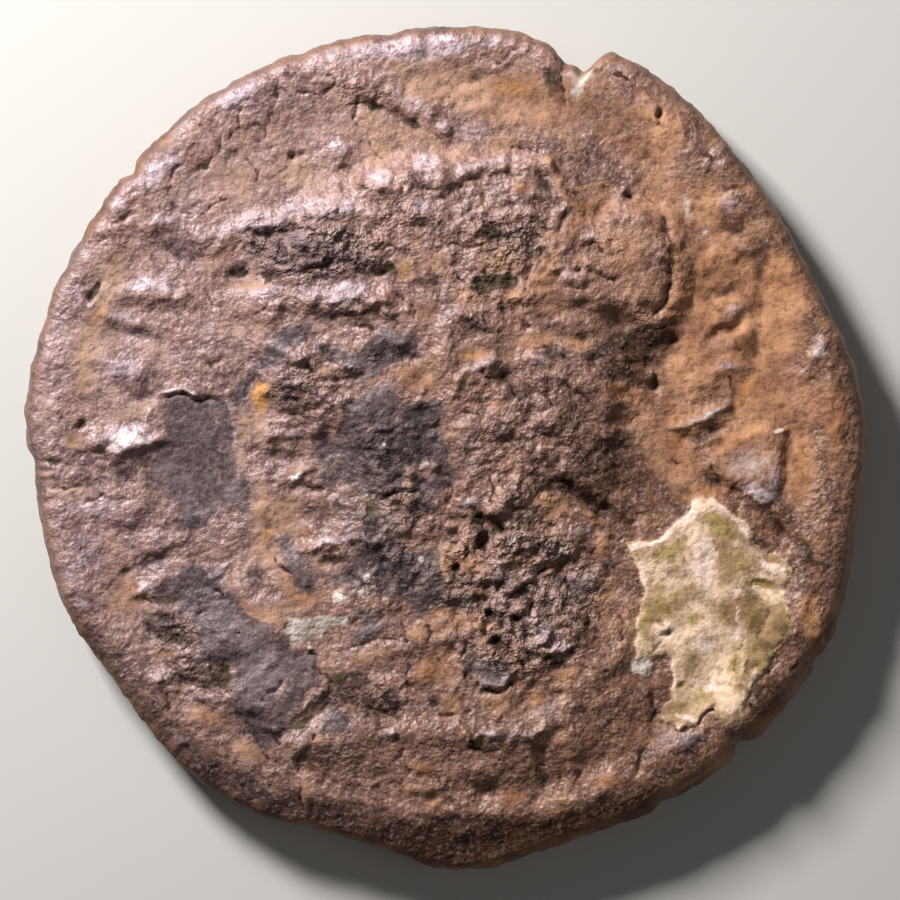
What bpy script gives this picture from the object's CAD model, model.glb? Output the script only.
"""Looks of an ancient struck bronze coin, worn, cracked and encrusted, lying portrait side up.

The coin is one closed mesh. Its two faces are worked out on maps, in millimetres, as a
sculptor would lay forms on a slab: the flan, the bust, the legend strokes, then wear,
flakes, cracks, earth and crust. Each stain is a map of its own, kept on the mesh as an
attribute that the material reads. X is to the portrait's front, Y is its up.
"""

import bmesh
import bpy
import numpy as np
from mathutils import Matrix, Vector

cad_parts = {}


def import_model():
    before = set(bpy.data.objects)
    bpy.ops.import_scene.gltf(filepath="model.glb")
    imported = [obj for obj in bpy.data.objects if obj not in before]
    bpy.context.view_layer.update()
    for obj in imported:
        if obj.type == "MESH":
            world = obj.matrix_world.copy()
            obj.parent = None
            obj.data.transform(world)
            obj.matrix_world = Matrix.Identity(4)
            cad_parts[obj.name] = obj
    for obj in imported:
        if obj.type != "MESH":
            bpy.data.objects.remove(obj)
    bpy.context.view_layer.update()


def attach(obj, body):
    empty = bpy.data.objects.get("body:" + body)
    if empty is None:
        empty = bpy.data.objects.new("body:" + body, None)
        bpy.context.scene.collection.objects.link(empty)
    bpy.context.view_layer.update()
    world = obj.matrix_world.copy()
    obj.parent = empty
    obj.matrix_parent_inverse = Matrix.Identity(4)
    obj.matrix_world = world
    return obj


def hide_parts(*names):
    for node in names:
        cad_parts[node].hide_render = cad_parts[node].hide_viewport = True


MM = 0.001

# ---------------------------------------------------------------- sizes of the flan

FLAN_RADIUS = 9.9
# The outline: (angle in degrees, radius).
FLAN_OUTLINE = (
    (0, 10.08), (12, 9.96), (20, 9.74), (32, 9.69), (44, 9.85), (54, 10.09), (66, 10.26),
    (78, 10.12), (92, 10.02), (104, 10.03), (128, 10.08), (150, 10.01), (176, 10.04),
    (187, 9.82), (203, 9.85), (216, 9.68), (230, 9.86), (242, 9.88), (257, 9.64),
    (273, 10.14), (286, 9.88), (300, 10.02), (320, 10.22), (335, 10.27), (350, 9.99),
)
# The notch, chips and bulges of the outline: (angle, half width in degrees, change of radius).
EDGE_BREAKS = (
    (69.5, 1.9, -0.50), (72.3, 3.6, -0.60), (77.0, 3.0, -0.14), (97.5, 2.4, -0.09),
    (110.0, 1.7, -0.09), (138.8, 1.5, -0.13),
    (158.0, 2.6, 0.06), (175.5, 2.0, 0.04), (182.5, 3.0, -0.10), (249.8, 2.0, -0.12),
    (301.6, 1.8, -0.10), (314.6, 1.8, -0.17), (330.2, 1.8, -0.09), (333.6, 1.6, 0.06),
)
EDGE_NOISE_RADIUS = 12.0
RAGGEDNESS = 0.015
EDGE_PITTING = 0.05
OBVERSE_LEVEL = 1.50
REVERSE_LEVEL = 0.30
EDGE_LEVEL = 0.82
EDGE_ROUNDNESS = 0.8
EDGE_SQUARENESS = 0.9
EDGE_TOP_INSET = 0.42
EDGE_FOOT_INSET = 0.50
WIDE_INSET_ANGLE = 317.0
WIDE_INSET_SPREAD = 22.0
WIDE_INSET = 0.42
RIM_RADIUS = 9.25
RIM_WIDTH = 0.55
RIM_RISE = 0.18
RIM_TROUGH = 0.05
RIM_TROUGH_RADIUS = 8.3
# Round the lower edge, the rim sinks from this radius outwards.
LOW_RIM_RADIUS = 8.6
LOW_RIM_START = 5.0
LOW_RIM_SPREAD = 3.5
LOW_RIM_DROP = 0.30
LOW_RIM_UMBER = 1.1

# ---------------------------------------------------------------- sizes of the bust

HEAD_HEIGHT = 8.3
HEAD_BACK = -2.45
CHIN_LEVEL = -1.30
# The head's points are in head heights: x from its back, y from its chin.
PROFILE = (
    (0.42, 1.00), (0.60, 0.97), (0.74, 0.87), (0.80, 0.72), (0.81, 0.60), (0.785, 0.52),
    (0.90, 0.36), (0.82, 0.325), (0.84, 0.27), (0.81, 0.235), (0.825, 0.20), (0.79, 0.155),
    (0.81, 0.08), (0.74, 0.00), (0.56, 0.03), (0.46, -0.12), (0.10, -0.08), (0.00, 0.18),
    (-0.24, 0.30), (-0.28, 0.62), (-0.10, 0.88), (0.16, 0.99),
)
SKULL = (0.36, 0.52)
EAR = (0.36, 0.42)
EYE = (0.66, 0.50)
CHEEK = (0.60, 0.33)
BROW = ((0.54, 0.585), (0.66, 0.60), (0.79, 0.575))
NOSE = ((0.78, 0.50), (0.86, 0.37))
JAW = ((0.36, 0.20), (0.50, 0.06), (0.72, 0.03))
HAIRLINE = ((0.72, 0.90), (0.62, 0.72), (0.44, 0.56), (0.34, 0.36), (0.16, 0.12))
HAIR_BACK = ((-0.30, -0.10), (-0.50, 0.60), (-0.10, 1.15), (0.72, 1.10))
HEAD_RISE = 0.30
HEAD_DOME = 0.16
BUST = (
    (2.0, -1.4), (2.5, -3.0), (4.3, -4.4), (4.9, -6.1), (3.6, -7.7), (0.6, -8.5),
    (-3.2, -8.2), (-6.0, -6.3), (-6.7, -4.6), (-4.9, -3.0), (-2.7, -1.9), (-2.0, -0.4),
)
BUST_RISE = 0.24
# Folds of the dress: (points, width, rise).
FOLDS = (
    (((-6.2, -3.6), (-4.6, -3.1), (-2.4, -2.3), (0.0, -1.7)), 0.34, 0.10),
    (((-6.6, -5.0), (-4.8, -4.7), (-2.6, -3.9), (0.6, -3.3), (2.4, -3.2)), 0.36, 0.07),
    (((-5.6, -6.2), (-4.0, -6.0), (-1.8, -5.0), (0.2, -4.4)), 0.36, 0.08),
    (((-4.4, -7.4), (-2.8, -6.9), (-1.2, -6.7), (0.4, -6.8), (2.3, -6.8)), 0.36, 0.13),
    (((4.3, -4.8), (3.4, -5.6), (2.9, -6.6), (3.1, -7.6)), 0.36, 0.10),
)
BROOCH = (1.1, -5.4)
BROOCH_RADIUS = 0.85
BROOCH_RISE = 0.10
BROOCH_GROOVE = 0.05

# ---------------------------------------------------------------- the reverse

# A worn standing figure, as ellipses: (middle, half sizes).
FIGURE = (
    ((0.0, 4.9), (0.85, 0.95)), ((0.0, 1.6), (1.75, 2.9)), ((0.1, -2.4), (1.9, 3.7)),
    ((-2.5, 2.1), (1.9, 0.6)), ((2.3, 1.3), (1.7, 0.6)),
)
FIGURE_RISE = 0.55
STAFF = ((3.7, 5.6), (3.5, -5.6))
GROUND_LINE = ((-5.2, -6.1), (5.2, -6.1))
BAR_RISE = 0.28
BAR_WIDTH = 0.42
BORDER_RADIUS = 8.45
BORDER_WIDTH = 0.55
BORDER_RISE = 0.42
# Rows of plain strokes round the middle: (first angle, last angle, how many, radius, length).
BACK_STROKES = ((200.0, 112.0, 10, 6.9, 1.2), (68.0, -20.0, 10, 6.9, 1.2))
STROKE_SLANTS = (24.0, 6.0, 32.0, 14.0)
STROKE_WIDTH = 0.28
STROKE_RISE = 0.26

# ---------------------------------------------------------------- forms left by wear

SCAB = (
    (2.2, 3.9), (2.5, 4.9), (3.05, 5.6), (4.3, 6.0), (5.1, 5.7), (5.45, 4.6), (5.35, 3.6),
    (4.7, 3.0), (3.2, 2.9),
)
SCAB_RISE = 0.42
CRUST_RISE = 0.06
# How far marks wander, so that none has a clean edge, and how much lines vary in strength.
BROAD_WANDER = 0.07
FINE_WANDER = 0.085
LINE_STRENGTH = 0.9
LINE_UNEVENNESS = 0.8
SWELL_RISE = 0.034
SCALE_RISE = 0.045
CRUMB_RISE = 0.050
FINE_RISE = 0.018
USUAL_COARSENESS = 0.55
# A hollow or valley: how wide the place is that it lies below, and how deep is a full one.
HOLLOW_SIZE = 0.26
HOLLOW_DEPTH = 0.045
VALLEY_SIZE = 2.2
VALLEY_DETAIL = 0.25
VALLEY_DEPTH = 0.10
BACK_HOLLOW_SIZE = 0.45
BACK_HOLLOW_DEPTH = 0.06

# ---------------------------------------------------------------- how finely it is made

OBVERSE_CELLS = 288
REVERSE_CELLS = 96
EDGE_ROWS = (0.80, 0.55, 0.30, 0.05, -0.25, -0.60)
GRID_CORNER = 0.86
MAP_REACH = 10.8
MAP_STEP = 0.034
MAP_SIDE = int(2 * MAP_REACH / MAP_STEP) + 1
# A crack thinner than this is made shallower, and the material draws it from how far away
# its line is.
SEAM_WIDTH = 0.105
SEAM_REACH = 0.30
SEAM_DEPTH_SHARE = 0.45

# ---------------------------------------------------------------- view and light

VIEW_MIDDLE = (0.126, -0.078)
VIEW_WIDTH = 21.53
LENS = 180.0
SENSOR = 36.0
# Soft square lights, in millimetres and watts: (name, place, size, power, colour).
LIGHTS = (
    ("key", (-46.0, 58.0, 46.0), 20.0, 0.148, (1.0, 0.98, 0.97)),
    ("fill", (170.0, -60.0, 190.0), 160.0, 0.042, (1.0, 0.98, 0.96)),
)
SKY_COLOUR = (1.0, 0.99, 0.98, 1.0)
SKY_STRENGTH = 0.06

# ---------------------------------------------------------------- marks laid by hand

# Places, sizes and rises are in millimetres. A stain's amount is a share of the whole. A spot's
# turn, left out where it is 0, is in degrees. Lines and outlines are given as x, y, x, y, ...

# Raised or sunken plates: (softness of the edge, rise, outline).
PLATES = (
    (0.3, -0.04, -6.7, 1.2, -5.1, 1.12, -4.95, 0.4, -5, -0.7, -5.3, -1.5, -6.1, -1.7, -6.7, -1.2, -7, -0.6,
     -6.75, 0.3),
    (0.3, 0.11, 6.1, -0.45, 6.9, 0.2, 7.8, 0.5, 8.1, 0.4, 8, -0.9, 7.6, -1.4, 6.9, -1),
    (0.5, -0.1, 3.3, 2.6, 3.9, 2.95, 4.8, 2.9, 5.6, 3.3, 5.7, 2.5, 5.3, 1.8, 4.4, 1.7, 3.5, 1.9),
    (0.2, -0.05, 0.2, 6.2, 1, 6.55, 2.3, 6.6, 2.8, 5.7, 2.4, 5, 2.1, 4.2, 1.4, 3.3, 0.6, 3.2, -0.2, 4.6),
    (0.12, 0.05, 3, 5.5, 2.5, 4.75, 2.2, 4.2, 2.15, 3.8, 2.45, 3.85, 2.7, 4.5, 3.3, 5.2),
    (0.1, 0.06, 1.35, 3.5, 1.75, 3.5, 1.9, 3.75, 1.6, 3.85, 1.35, 3.7),
    (0.12, 0.06, -4.05, -2.1, -3.5, -2.15, -3.25, -2.6, -3.1, -3.3, -3.4, -3.35, -3.7, -2.9, -4, -2.8),
    (0.3, 0.03, -7.1, -3.5, -6.7, -3, -5.2, -2.85, -5.1, -3.9, -4.8, -4.9, -5.8, -5, -5.95, -4.1, -6.4,
     -3.5),
    (0.12, -0.2, 0.72, -1.55, 1, -1.7, 1.35, -1.85, 1.5, -2.02, 1.2, -2.1, 0.95, -2.5, 0.7, -2.4, 0.95,
     -1.98),
    (0.2, 0.03, 1.8, -2, 2.9, -1.95, 3.3, -2.3, 2.5, -2.85, 1.7, -2.6),
    (0.3, -0.03, 2, -3.1, 3, -2.7, 4.2, -3, 4.2, -4, 2.9, -4.1, 2, -3.9),
    (0.8, 0.15, 1.3, -1.3, 2.4, -1, 3.3, -1.4, 3.6, -2.2, 2.8, -2.6, 1.6, -2.5, 1.1, -1.9),
    (0.7, 0.13, 5.3, 5.7, 5.9, 5.3, 6.1, 4.2, 5.8, 3.1, 5.1, 2.5, 4.4, 2.7, 5, 3.3, 5.3, 4, 5.3, 4.8),
    (0.5, 0.12, 5.2, 4.9, 5.7, 4.9, 5.9, 4, 5.6, 3, 4.9, 2.5, 4.2, 2.7, 4.8, 3.2, 5.2, 3.9),
)

# Ridges (rise above 0), troughs and cracks (below 0): (width, rise, line). The short plain
# strokes that stand round the coin in place of its legend are among them.
LINES = (
    # upper left
    (0.24, 0.07, -3.9, 8.85, -5, 8.4, -5.75, 7.85),
    (0.24, 0.07, -6.1, 7.25, -6.7, 6.8, -7.3, 6.2, -7.75, 5.6), (0.24, 0.07, -1.9, 9.45, -0.6, 9.55),
    (0.16, 0.05, -8.8, 4.7, -8.5, 4.95, -8.2, 5.05), (0.18, -0.06, -7.7, 2.75, -7.2, 2.65, -6.6, 2.4),
    (0.34, 0.08, -8.1, 1.95, -7.2, 1.75), (0.17, -0.06, -7.6, 1.35, -7, 1.2),
    (0.07, -0.08, -5.2, 5.92, -5.45, 5.72, -5.75, 5.55), (0.06, -0.05, -6.65, 5.85, -6.3, 5.62, -6, 5.6),
    (0.07, -0.08, -5.3, 7.45, -5.4, 7, -5.7, 6.65, -6, 6.5),
    (0.06, -0.06, -6.45, 6.5, -6.55, 6.1, -6.45, 5.9), (0.06, -0.06, -6, 7, -6.3, 6.75, -6.5, 6.55),
    (0.07, -0.08, -3.98, 8.7, -4.03, 8.2, -4.15, 7.8, -4.4, 7.3),
    (0.06, -0.06, -4.6, 8.3, -4.75, 8.1, -4.85, 7.95), (0.05, -0.05, -4.75, 7.6, -4.3, 7.7, -4, 7.65),
    (0.05, -0.05, -5, 7.9, -4.9, 7.6, -5.1, 7.3), (0.05, -0.05, -4.8, 6.9, -4.5, 6.6, -4.45, 6.3),
    (0.05, -0.05, -3.8, 6.75, -4, 6.45, -4.3, 6.3), (0.07, -0.08, -3.5, 8.38, -3.25, 8.48, -3.1, 8.4),
    (0.07, -0.08, -2.9, 8.45, -2.65, 8.6), (0.05, -0.05, -3.1, 8.9, -2.7, 8.85, -2.6, 8.65),
    (0.05, 0.05, -3, 5.95, -2.88, 5.75, -2.72, 5.68),
    (0.26, 0.1, -2.6, 8.85, -1.5, 8.6, -0.6, 8.2, 0.1, 7.8),
    (0.07, -0.09, -2.15, 8.15, -2.2, 7.75, -1.9, 7.4, -1.7, 7.1, -1.45, 6.85),
    (0.08, -0.08, -1.95, 6.2, -1.55, 6.08, -1.2, 5.88, -1.08, 6.15),
    (0.1, -0.1, -0.78, 6.35, -0.45, 6.15, -0.1, 6.2), (0.06, -0.06, -1.6, 5.75, -1, 5.6),
    (0.18, 0.07, -4.9, 3.2, -4.1, 3.1), (0.2, 0.1, -3.85, 2.25, -3.5, 2.15),
    (0.14, 0.08, -2.5, 1.92, -2.1, 1.88), (0.1, -0.08, -2.9, 1.5, -2.2, 1.6, -1.85, 1.85),
    (0.08, -0.07, -5.7, 3.65, -5.35, 3.3), (0.06, -0.06, -5.2, 2.15, -5.6, 1.95),
    (0.06, 0.06, -5.75, 2.2, -5.3, 1.75), (0.14, 0.08, -4, 1.65, -3.3, 1.5),
    (0.1, -0.07, -4.1, 1.2, -3.4, 1.15), (0.14, 0.1, -4.2, 0.35, -3.6, 0.2, -3, 0.4),
    (0.06, 0.07, -6.95, 0.95, -7.05, 0.75, -6.98, 0.5), (0.1, 0.04, -8.3, 5.05, -7.7, 5.18, -7, 5.15),
    (0.2, 0.08, -7.95, 3.05, -7.4, 2.92, -6.95, 2.8),
    (0.28, 0.18, -3.25, 3.42, -2.7, 3.48, -2, 3.46, -1.45, 3.4),
    (0.24, 0.09, -5.1, 3.5, -4.5, 3.45, -3.9, 3.4), (0.09, 0.08, -1.35, 8.2, -1, 8.05, -0.75, 7.85),
    (0.06, 0.1, -6.66, 1.28, -6.3, 1.42, -6, 1.28),
    (0.05, -0.11, -6.6, 1.18, -6.35, 1.3, -6.05, 1.16, -5.7, 1.12, -5.3, 1.1),
    (0.09, -0.13, -4.35, 4.2, -4.1, 3.98, -4.12, 3.75),
    (0.08, 0.1, -3.3, 4.35, -2.95, 4.5, -2.65, 4.42, -2.45, 4.25),
    (0.08, 0.09, -2.6, 4.6, -2.3, 4.45, -2.15, 4.28), (0.08, -0.12, -3.1, 4.3, -2.8, 4.3, -2.5, 4.1),
    (0.08, -0.14, -2.4, 4.45, -2.15, 4.3, -1.9, 4.15, -1.5, 4.1, -1.2, 4.25),
    (0.07, -0.1, -4, 4.4, -3.7, 4.3), (0.07, 0.09, -4.2, 4.6, -3.8, 4.45, -3.5, 4.5),
    (0.08, -0.1, -4.75, 5.1, -4.4, 5.1, -4.2, 4.95), (0.08, 0.09, -4.6, 4.85, -4.3, 4.8),
    (0.07, -0.09, -3.9, 5.2, -3.4, 5.12, -3, 4.95), (0.08, 0.09, -3.1, 5.1, -2.7, 5.02),
    (0.07, -0.1, -2.4, 5.1, -2, 5, -1.7, 5.15), (0.07, 0.09, -1.7, 4.85, -1.2, 4.9, -1, 4.7),
    (0.06, -0.09, -1.6, 4.7, -1.1, 4.65), (0.26, 0.15, -1.95, 6.3, -1.55, 6.22, -1.2, 6.1),
    (0.22, 0.13, -0.85, 6.45, -0.45, 6.4, -0.1, 6.45), (0.2, 0.11, -0.75, 5.55, -0.4, 5.5),
    (0.07, -0.09, -4.6, 3.2, -4.2, 3.3, -4.1, 3.5), (0.06, 0.08, -4.3, 3.65, -4, 3.5, -3.85, 3.3),
    (0.06, -0.07, -1.1, 3.6, -0.8, 3.3, -0.75, 3), (0.08, 0.08, -1.4, 3.1, -1, 3.2),
    (0.07, -0.08, -2.1, 2.9, -1.6, 2.8), (0.08, 0.08, -3.9, 2.3, -3.6, 2.25, -3.4, 2.05),
    (0.07, -0.08, -3.3, 1.95, -3, 1.8, -2.8, 1.5), (0.07, 0.08, -3, 1.35, -2.6, 1.4),
    (0.07, -0.08, -4, 0.85, -3.5, 0.8, -3.2, 0.95), (0.08, 0.08, -4.1, 0.6, -3.6, 0.55),
    (0.07, -0.03, -3.3, 3.2, -2.6, 3.1, -2.2, 3.15, -1.5, 3.2),
    (0.26, 0.1, -7.7, 3.68, -7, 3.7, -6.3, 3.62),
    (0.33, 0.22, -8.2, -0.06, -7.6, 0, -7.2, 0.07, -6.9, 0.17),
    (0.2, 0.04, -6.9, 5.25, -6.3, 5.4, -5.6, 5.68, -5.25, 5.9), (0.2, -0.05, -0.65, 5.3, -0.2, 5.15),
    (0.06, -0.07, -2.25, 8.2, -1.85, 8.2, -1.35, 8.02, -0.95, 7.82, -0.6, 7.55, 0, 7.3),
    (0.34, 0.13, -5.7, 4.85, -4.9, 5, -4.2, 5.35, -3.5, 5.5, -2.8, 5.42, -2, 5.5),
    (0.05, 0.07, -1.65, 0.42, -1.4, 0.5, -1.3, 0.52), (0.05, 0.06, -0.6, 0.66, -0.4, 0.58, -0.2, 0.7),
    (0.07, -0.08, -0.95, 0.62, -0.6, 0.66), (0.07, 0.08, -4.6, 5.15, -4.2, 5.3, -3.8, 5.25),
    (0.07, 0.08, -3.4, 5.5, -3, 5.45, -2.6, 5.6), (0.06, -0.04, -4.4, 5.05, -3.9, 5.1, -3.5, 5.3),
    (0.08, 0.09, -3.9, 4.7, -3.4, 4.75), (0.06, -0.08, -3.8, 4.5, -3.3, 4.55),
    (0.07, 0.08, -2.9, 4.55, -2.3, 4.5),
    # upper right
    (0.2, 0.07, 0.2, 9.6, 0.9, 9.65, 1.7, 9.7), (0.07, 0.09, 2.5, 9.42, 2.05, 9.42, 1.6, 9.22, 1.1, 8.98),
    (0.1, -0.11, 1.2, 9.12, 1.5, 9.3, 1.85, 9.48), (0.08, -0.08, 2.82, 9.2, 2.8, 8.7, 2.78, 8.1),
    (0.06, -0.05, 3.85, 8.75, 4.1, 8.83, 4.35, 8.7), (0.05, 0.04, 4.4, 8.52, 4.85, 8.22),
    (0.05, 0.04, 4.5, 8, 5, 7.72), (0.12, -0.05, 0.4, 8.6, 0.8, 8.78, 1.2, 8.95),
    (0.06, -0.06, 1.2, 7.08, 1.8, 7.1, 2.3, 7), (0.05, -0.04, 3.1, 6.02, 3.5, 6.12, 3.9, 6.2),
    (0.07, 0.09, 2.45, 6.85, 2.65, 6.4, 2.9, 5.9, 3.2, 5.66, 3.6, 5.78),
    (0.08, -0.1, 2.9, 5.55, 2.5, 5, 2.25, 4.6, 2.05, 4.1, 1.9, 3.6),
    (0.12, 0.09, 2.1, 5.5, 2.5, 5.42, 2.85, 5.6), (0.1, -0.09, 2, 5.3, 2.5, 5.22),
    (0.1, 0.08, 2.1, 5.95, 2.6, 5.9), (0.08, -0.09, 2.15, 6.25, 2.35, 5.95),
    (0.12, 0.08, 0.1, 5.2, 0.7, 5.15), (0.1, -0.08, 0, 4.85, 0.8, 4.75, 1.4, 4.95),
    (0.12, 0.07, 0.2, 4.4, 0.8, 4.25), (0.1, -0.08, 0.3, 4, 0.7, 3.65),
    (0.08, -0.09, 1.35, 3.4, 1.75, 3.42, 2, 3.75, 1.98, 4.2), (0.1, -0.09, 0.4, 2.9, 0.8, 2.8, 1.25, 2.68),
    (0.09, 0.07, 0.4, 3.1, 0.9, 3), (0.14, 0.08, 0.3, 1.5, 0.9, 1.95, 1.5, 2.05),
    (0.1, -0.09, 0.9, 1.72, 1.4, 1.65, 1.6, 1.35, 1.75, 1.1), (0.1, -0.09, 2.1, 2.35, 2.5, 2.3, 3, 2.05),
    (0.12, 0.08, 2, 2.12, 2.4, 2.1), (0.08, -0.07, 1.9, 1.5, 2.4, 1.2, 2.6, 0.9),
    (0.08, 0.07, 2.4, 1.7, 2.9, 1.6), (0.08, -0.07, 2.9, 1.35, 3.4, 1.1),
    (0.08, -0.07, 0.3, 0.9, 0.9, 0.75, 1.3, 0.9), (0.1, 0.07, 0.2, 0.5, 0.8, 0.45),
    (0.08, -0.08, 1.6, 0.5, 2.2, 0.35, 2.5, 0.1), (0.1, 0.07, 1.8, 0.75, 2.4, 0.62),
    (0.08, 0.1, 3.15, 4.8, 3.45, 4.92, 3.75, 4.75, 3.9, 4.6),
    (0.07, -0.1, 3.1, 4.72, 3.45, 4.78, 3.7, 4.55), (0.07, 0.1, 3.4, 4.38, 3.65, 4.15, 3.95, 4.05),
    (0.07, -0.1, 3.4, 4.22, 3.6, 4.08, 3.95, 3.95), (0.14, 0.1, 2.6, 4.2, 2.9, 4.25),
    (0.12, 0.1, 2.9, 4, 3.25, 3.97), (0.07, -0.09, 2.75, 3.82, 3.3, 3.8),
    (0.07, -0.09, 4.7, 5.95, 5.05, 5.7, 5.2, 5.3, 5.35, 4.6, 5.32, 4, 5.25, 3.5, 4.95, 3.1),
    (0.1, -0.12, 5.32, 3.95, 5.27, 3.5, 5.05, 3.25),
    (0.12, 0.05, 5.35, 5.5, 5.55, 4.8, 5.52, 3.9, 5.45, 3.4), (0.24, -0.04, 5.75, 5.3, 5.8, 4.2, 5.75, 3),
    (0.16, -0.07, 3.5, 2.1, 4.2, 1.9, 4.9, 1.95), (0.07, -0.07, 4.4, 3, 4.9, 2.8, 5.5, 2.95),
    (0.16, 0.06, 3.6, 1.35, 4.2, 1.4, 4.7, 1.25), (0.28, 0.08, 6.2, 6.6, 6.7, 6.8),
    (0.3, 0.08, 6.5, 5.65, 6.95, 5.75), (0.34, 0.08, 6.2, 4.5, 7, 4.75), (0.26, 0.09, 6.6, 3.2, 7.15, 3.35),
    (0.24, 0.08, 6.3, 2.3, 6.9, 2.5), (0.24, 0.09, 6.1, 1.55, 6.55, 1.85, 6.95, 1.9),
    (0.14, 0.11, 5.45, 0.45, 6, 0.68, 6.75, 0.92), (0.1, 0.06, 5.95, 0.1, 6.45, 0.3),
    (0.15, -0.05, 6.4, 6.25, 6.75, 6.1, 7, 6.1), (0.16, -0.06, 6.6, 5.2, 6.95, 5.05, 7.1, 5.1),
    (0.15, -0.05, 6.5, 3.62, 6.9, 3.78, 7.15, 4), (0.12, -0.1, 6.4, 2.65, 6.8, 2.8, 7.1, 3),
    (0.1, -0.06, 6.8, 1.65, 6.78, 1.3, 6.95, 0.95), (0.12, -0.07, 5.75, 0.15, 6.2, 0.35, 6.6, 0.5),
    (0.22, -0.05, 7.3, 5.2, 7.5, 4.4, 7.5, 3.4, 7.3, 2.4, 7.15, 1.7),
    (0.07, -0.06, 8.05, 0.55, 8.4, 0.6, 8.7, 0.75), (0.07, -0.06, 8, 4.7, 8.3, 5.05),
    (0.16, 0.09, 8.4, 1.7, 8.65, 1.9, 8.95, 2.4), (0.1, -0.06, 8.55, 1.55, 9, 1.72),
    (0.1, -0.05, 6.15, 7, 6.4, 6.75),
    (0.14, 0.09, -0.2, 6.15, 0.4, 6.5, 1, 6.72, 1.3, 6.6, 1.5, 6.76, 2.3, 6.74, 2.5, 6.6),
    (0.06, -0.05, 0, 5.95, 0.5, 6.3, 1.2, 6.45, 1.9, 6.5), (0.05, 0.03, 6.65, 7.18, 6.25, 6.82),
    # lower left
    (0.24, 0.06, -9.1, -1.45, -8.3, -1.55, -7.5, -1.65), (0.14, -0.05, -8.4, -0.5, -7.7, -0.62, -7.1, -0.5),
    (0.14, -0.05, -7.3, -1.95, -6.7, -1.8, -6, -1.85),
    (0.06, -0.06, -8.7, -1.38, -8.4, -1.25, -8.15, -1.15), (0.07, -0.07, -9.3, -0.98, -8.6, -0.95),
    (0.2, -0.06, -7.6, -2.95, -7, -2.78, -6.4, -2.5), (0.2, 0.06, -7, -2.38, -6.3, -2.15),
    (0.12, -0.05, -6.9, -3.7, -6.4, -3.66), (0.16, -0.1, -6.95, -4.5, -6.4, -4.5, -5.9, -4.55),
    (0.07, 0.05, -5.6, -3.15, -5.2, -2.9, -5, -2.8), (0.06, -0.05, -5.5, -3.3, -5.25, -3.5, -5.15, -3.9),
    (0.08, -0.07, -6.66, -5.7, -6.6, -6.2), (0.06, 0.04, -5.6, -4.3, -5.2, -4.6),
    (0.12, 0.06, -6.9, -5.5, -6.4, -5.7), (0.16, -0.08, -4.5, -0.1, -3.9, -0.25, -3.3, -0.2),
    (0.05, 0.07, -1.45, -1.05, -1, -0.98, -0.65, -0.92),
    (0.06, -0.09, -1.55, -1.2, -1, -1.05, -0.4, -1.02, 0.05, -0.95),
    (0.05, 0.06, -3.95, -1.97, -3.5, -1.98, -3.15, -2.05),
    (0.09, 0.12, -3.35, -2.44, -2.9, -2.38, -2.5, -2.22, -2.1, -2.12),
    (0.07, -0.07, -3.2, -2.56, -2.7, -2.52, -2.1, -2.35), (0.1, -0.05, -3.3, -1.45, -2.8, -1.5),
    (0.07, -0.07, -1.95, -1.7, -1.82, -2.2, -1.9, -2.6),
    (0.06, -0.08, -4.05, -2.2, -4, -2.75, -3.72, -2.95, -3.45, -3.38),
    (0.06, 0.05, -3.9, -2.12, -3.55, -2.2, -3.35, -2.5), (0.09, 0.05, -1.8, -2.2, -1.4, -2.25),
    (0.07, -0.06, -0.5, -1.5, 0, -1.7), (0.06, 0.05, -0.9, -1.62, -0.4, -1.58),
    (0.1, 0.05, -3.6, -3.95, -3, -3.75), (0.06, -0.05, -3.78, -4.1, -3.72, -4.5),
    (0.06, -0.06, -3.4, -4.98, -3, -5.02), (0.08, -0.06, -2.2, -4.7, -1.6, -4.5, -1.1, -4.6),
    (0.08, 0.05, -2.1, -4.4, -1.5, -4.25), (0.06, -0.06, -1, -4.15, -0.9, -4.6),
    (0.06, -0.06, -0.4, -4.2, -0.35, -4.7), (0.06, 0.08, -4.95, -6.16, -4.55, -6.2),
    (0.06, -0.08, -5.2, -6.15, -4.85, -6.35, -4.5, -6.43),
    (0.06, 0.08, -4.62, -6.58, -4.3, -6.66, -4.1, -6.72),
    (0.06, -0.08, -4.55, -6.85, -4.4, -7.2, -4.25, -7.4), (0.06, -0.05, -4.1, -6.8, -3.85, -7.05),
    (0.08, 0.05, -4.9, -5.75, -4.4, -5.4, -4, -5), (0.07, -0.05, -4.6, -6, -4, -5.7, -3.7, -5.3),
    (0.06, 0.05, -3.5, -6.1, -3.7, -6.6), (0.1, 0.05, -3.65, -6.35, -3.1, -6.05, -2.8, -5.7),
    (0.14, -0.08, -3.85, -6.85, -3.3, -6.5, -2.8, -6.15),
    (0.06, -0.09, -3.05, -6.85, -3.3, -7.2, -3.45, -7.6, -3.55, -7.85),
    (0.12, 0.07, -3.45, -7.1, -3.7, -7.6), (0.14, 0.06, -3.3, -7.85, -3.25, -8.3, -3.3, -8.75),
    (0.07, -0.05, -3.5, -7.95, -3.45, -8.6), (0.09, -0.05, -3, -5.3, -2.6, -5.6),
    (0.06, -0.06, -2.5, -6.3, -2.3, -6.6), (0.08, 0.06, -1.9, -5.8, -1.4, -5.9),
    (0.08, -0.06, -1.9, -6.1, -1.4, -6.3, -1, -6.2), (0.06, -0.07, -0.9, -5.2, -0.95, -5.8),
    (0.09, -0.05, -2.1, -7.1, -1.7, -7), (0.07, -0.06, -1.25, -6.98, -1, -6.95),
    (0.05, 0.04, -2.5, -7.88, -2, -8, -1.5, -7.95), (0.08, -0.04, -0.9, -7.1, -1.3, -7.7, -1.6, -8),
    (0.16, 0.06, -0.9, -8.15, -0.4, -8.2, 0, -8), (0.05, 0.07, -1.28, -8.55, -1.15, -8.78, -0.9, -8.85),
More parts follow.
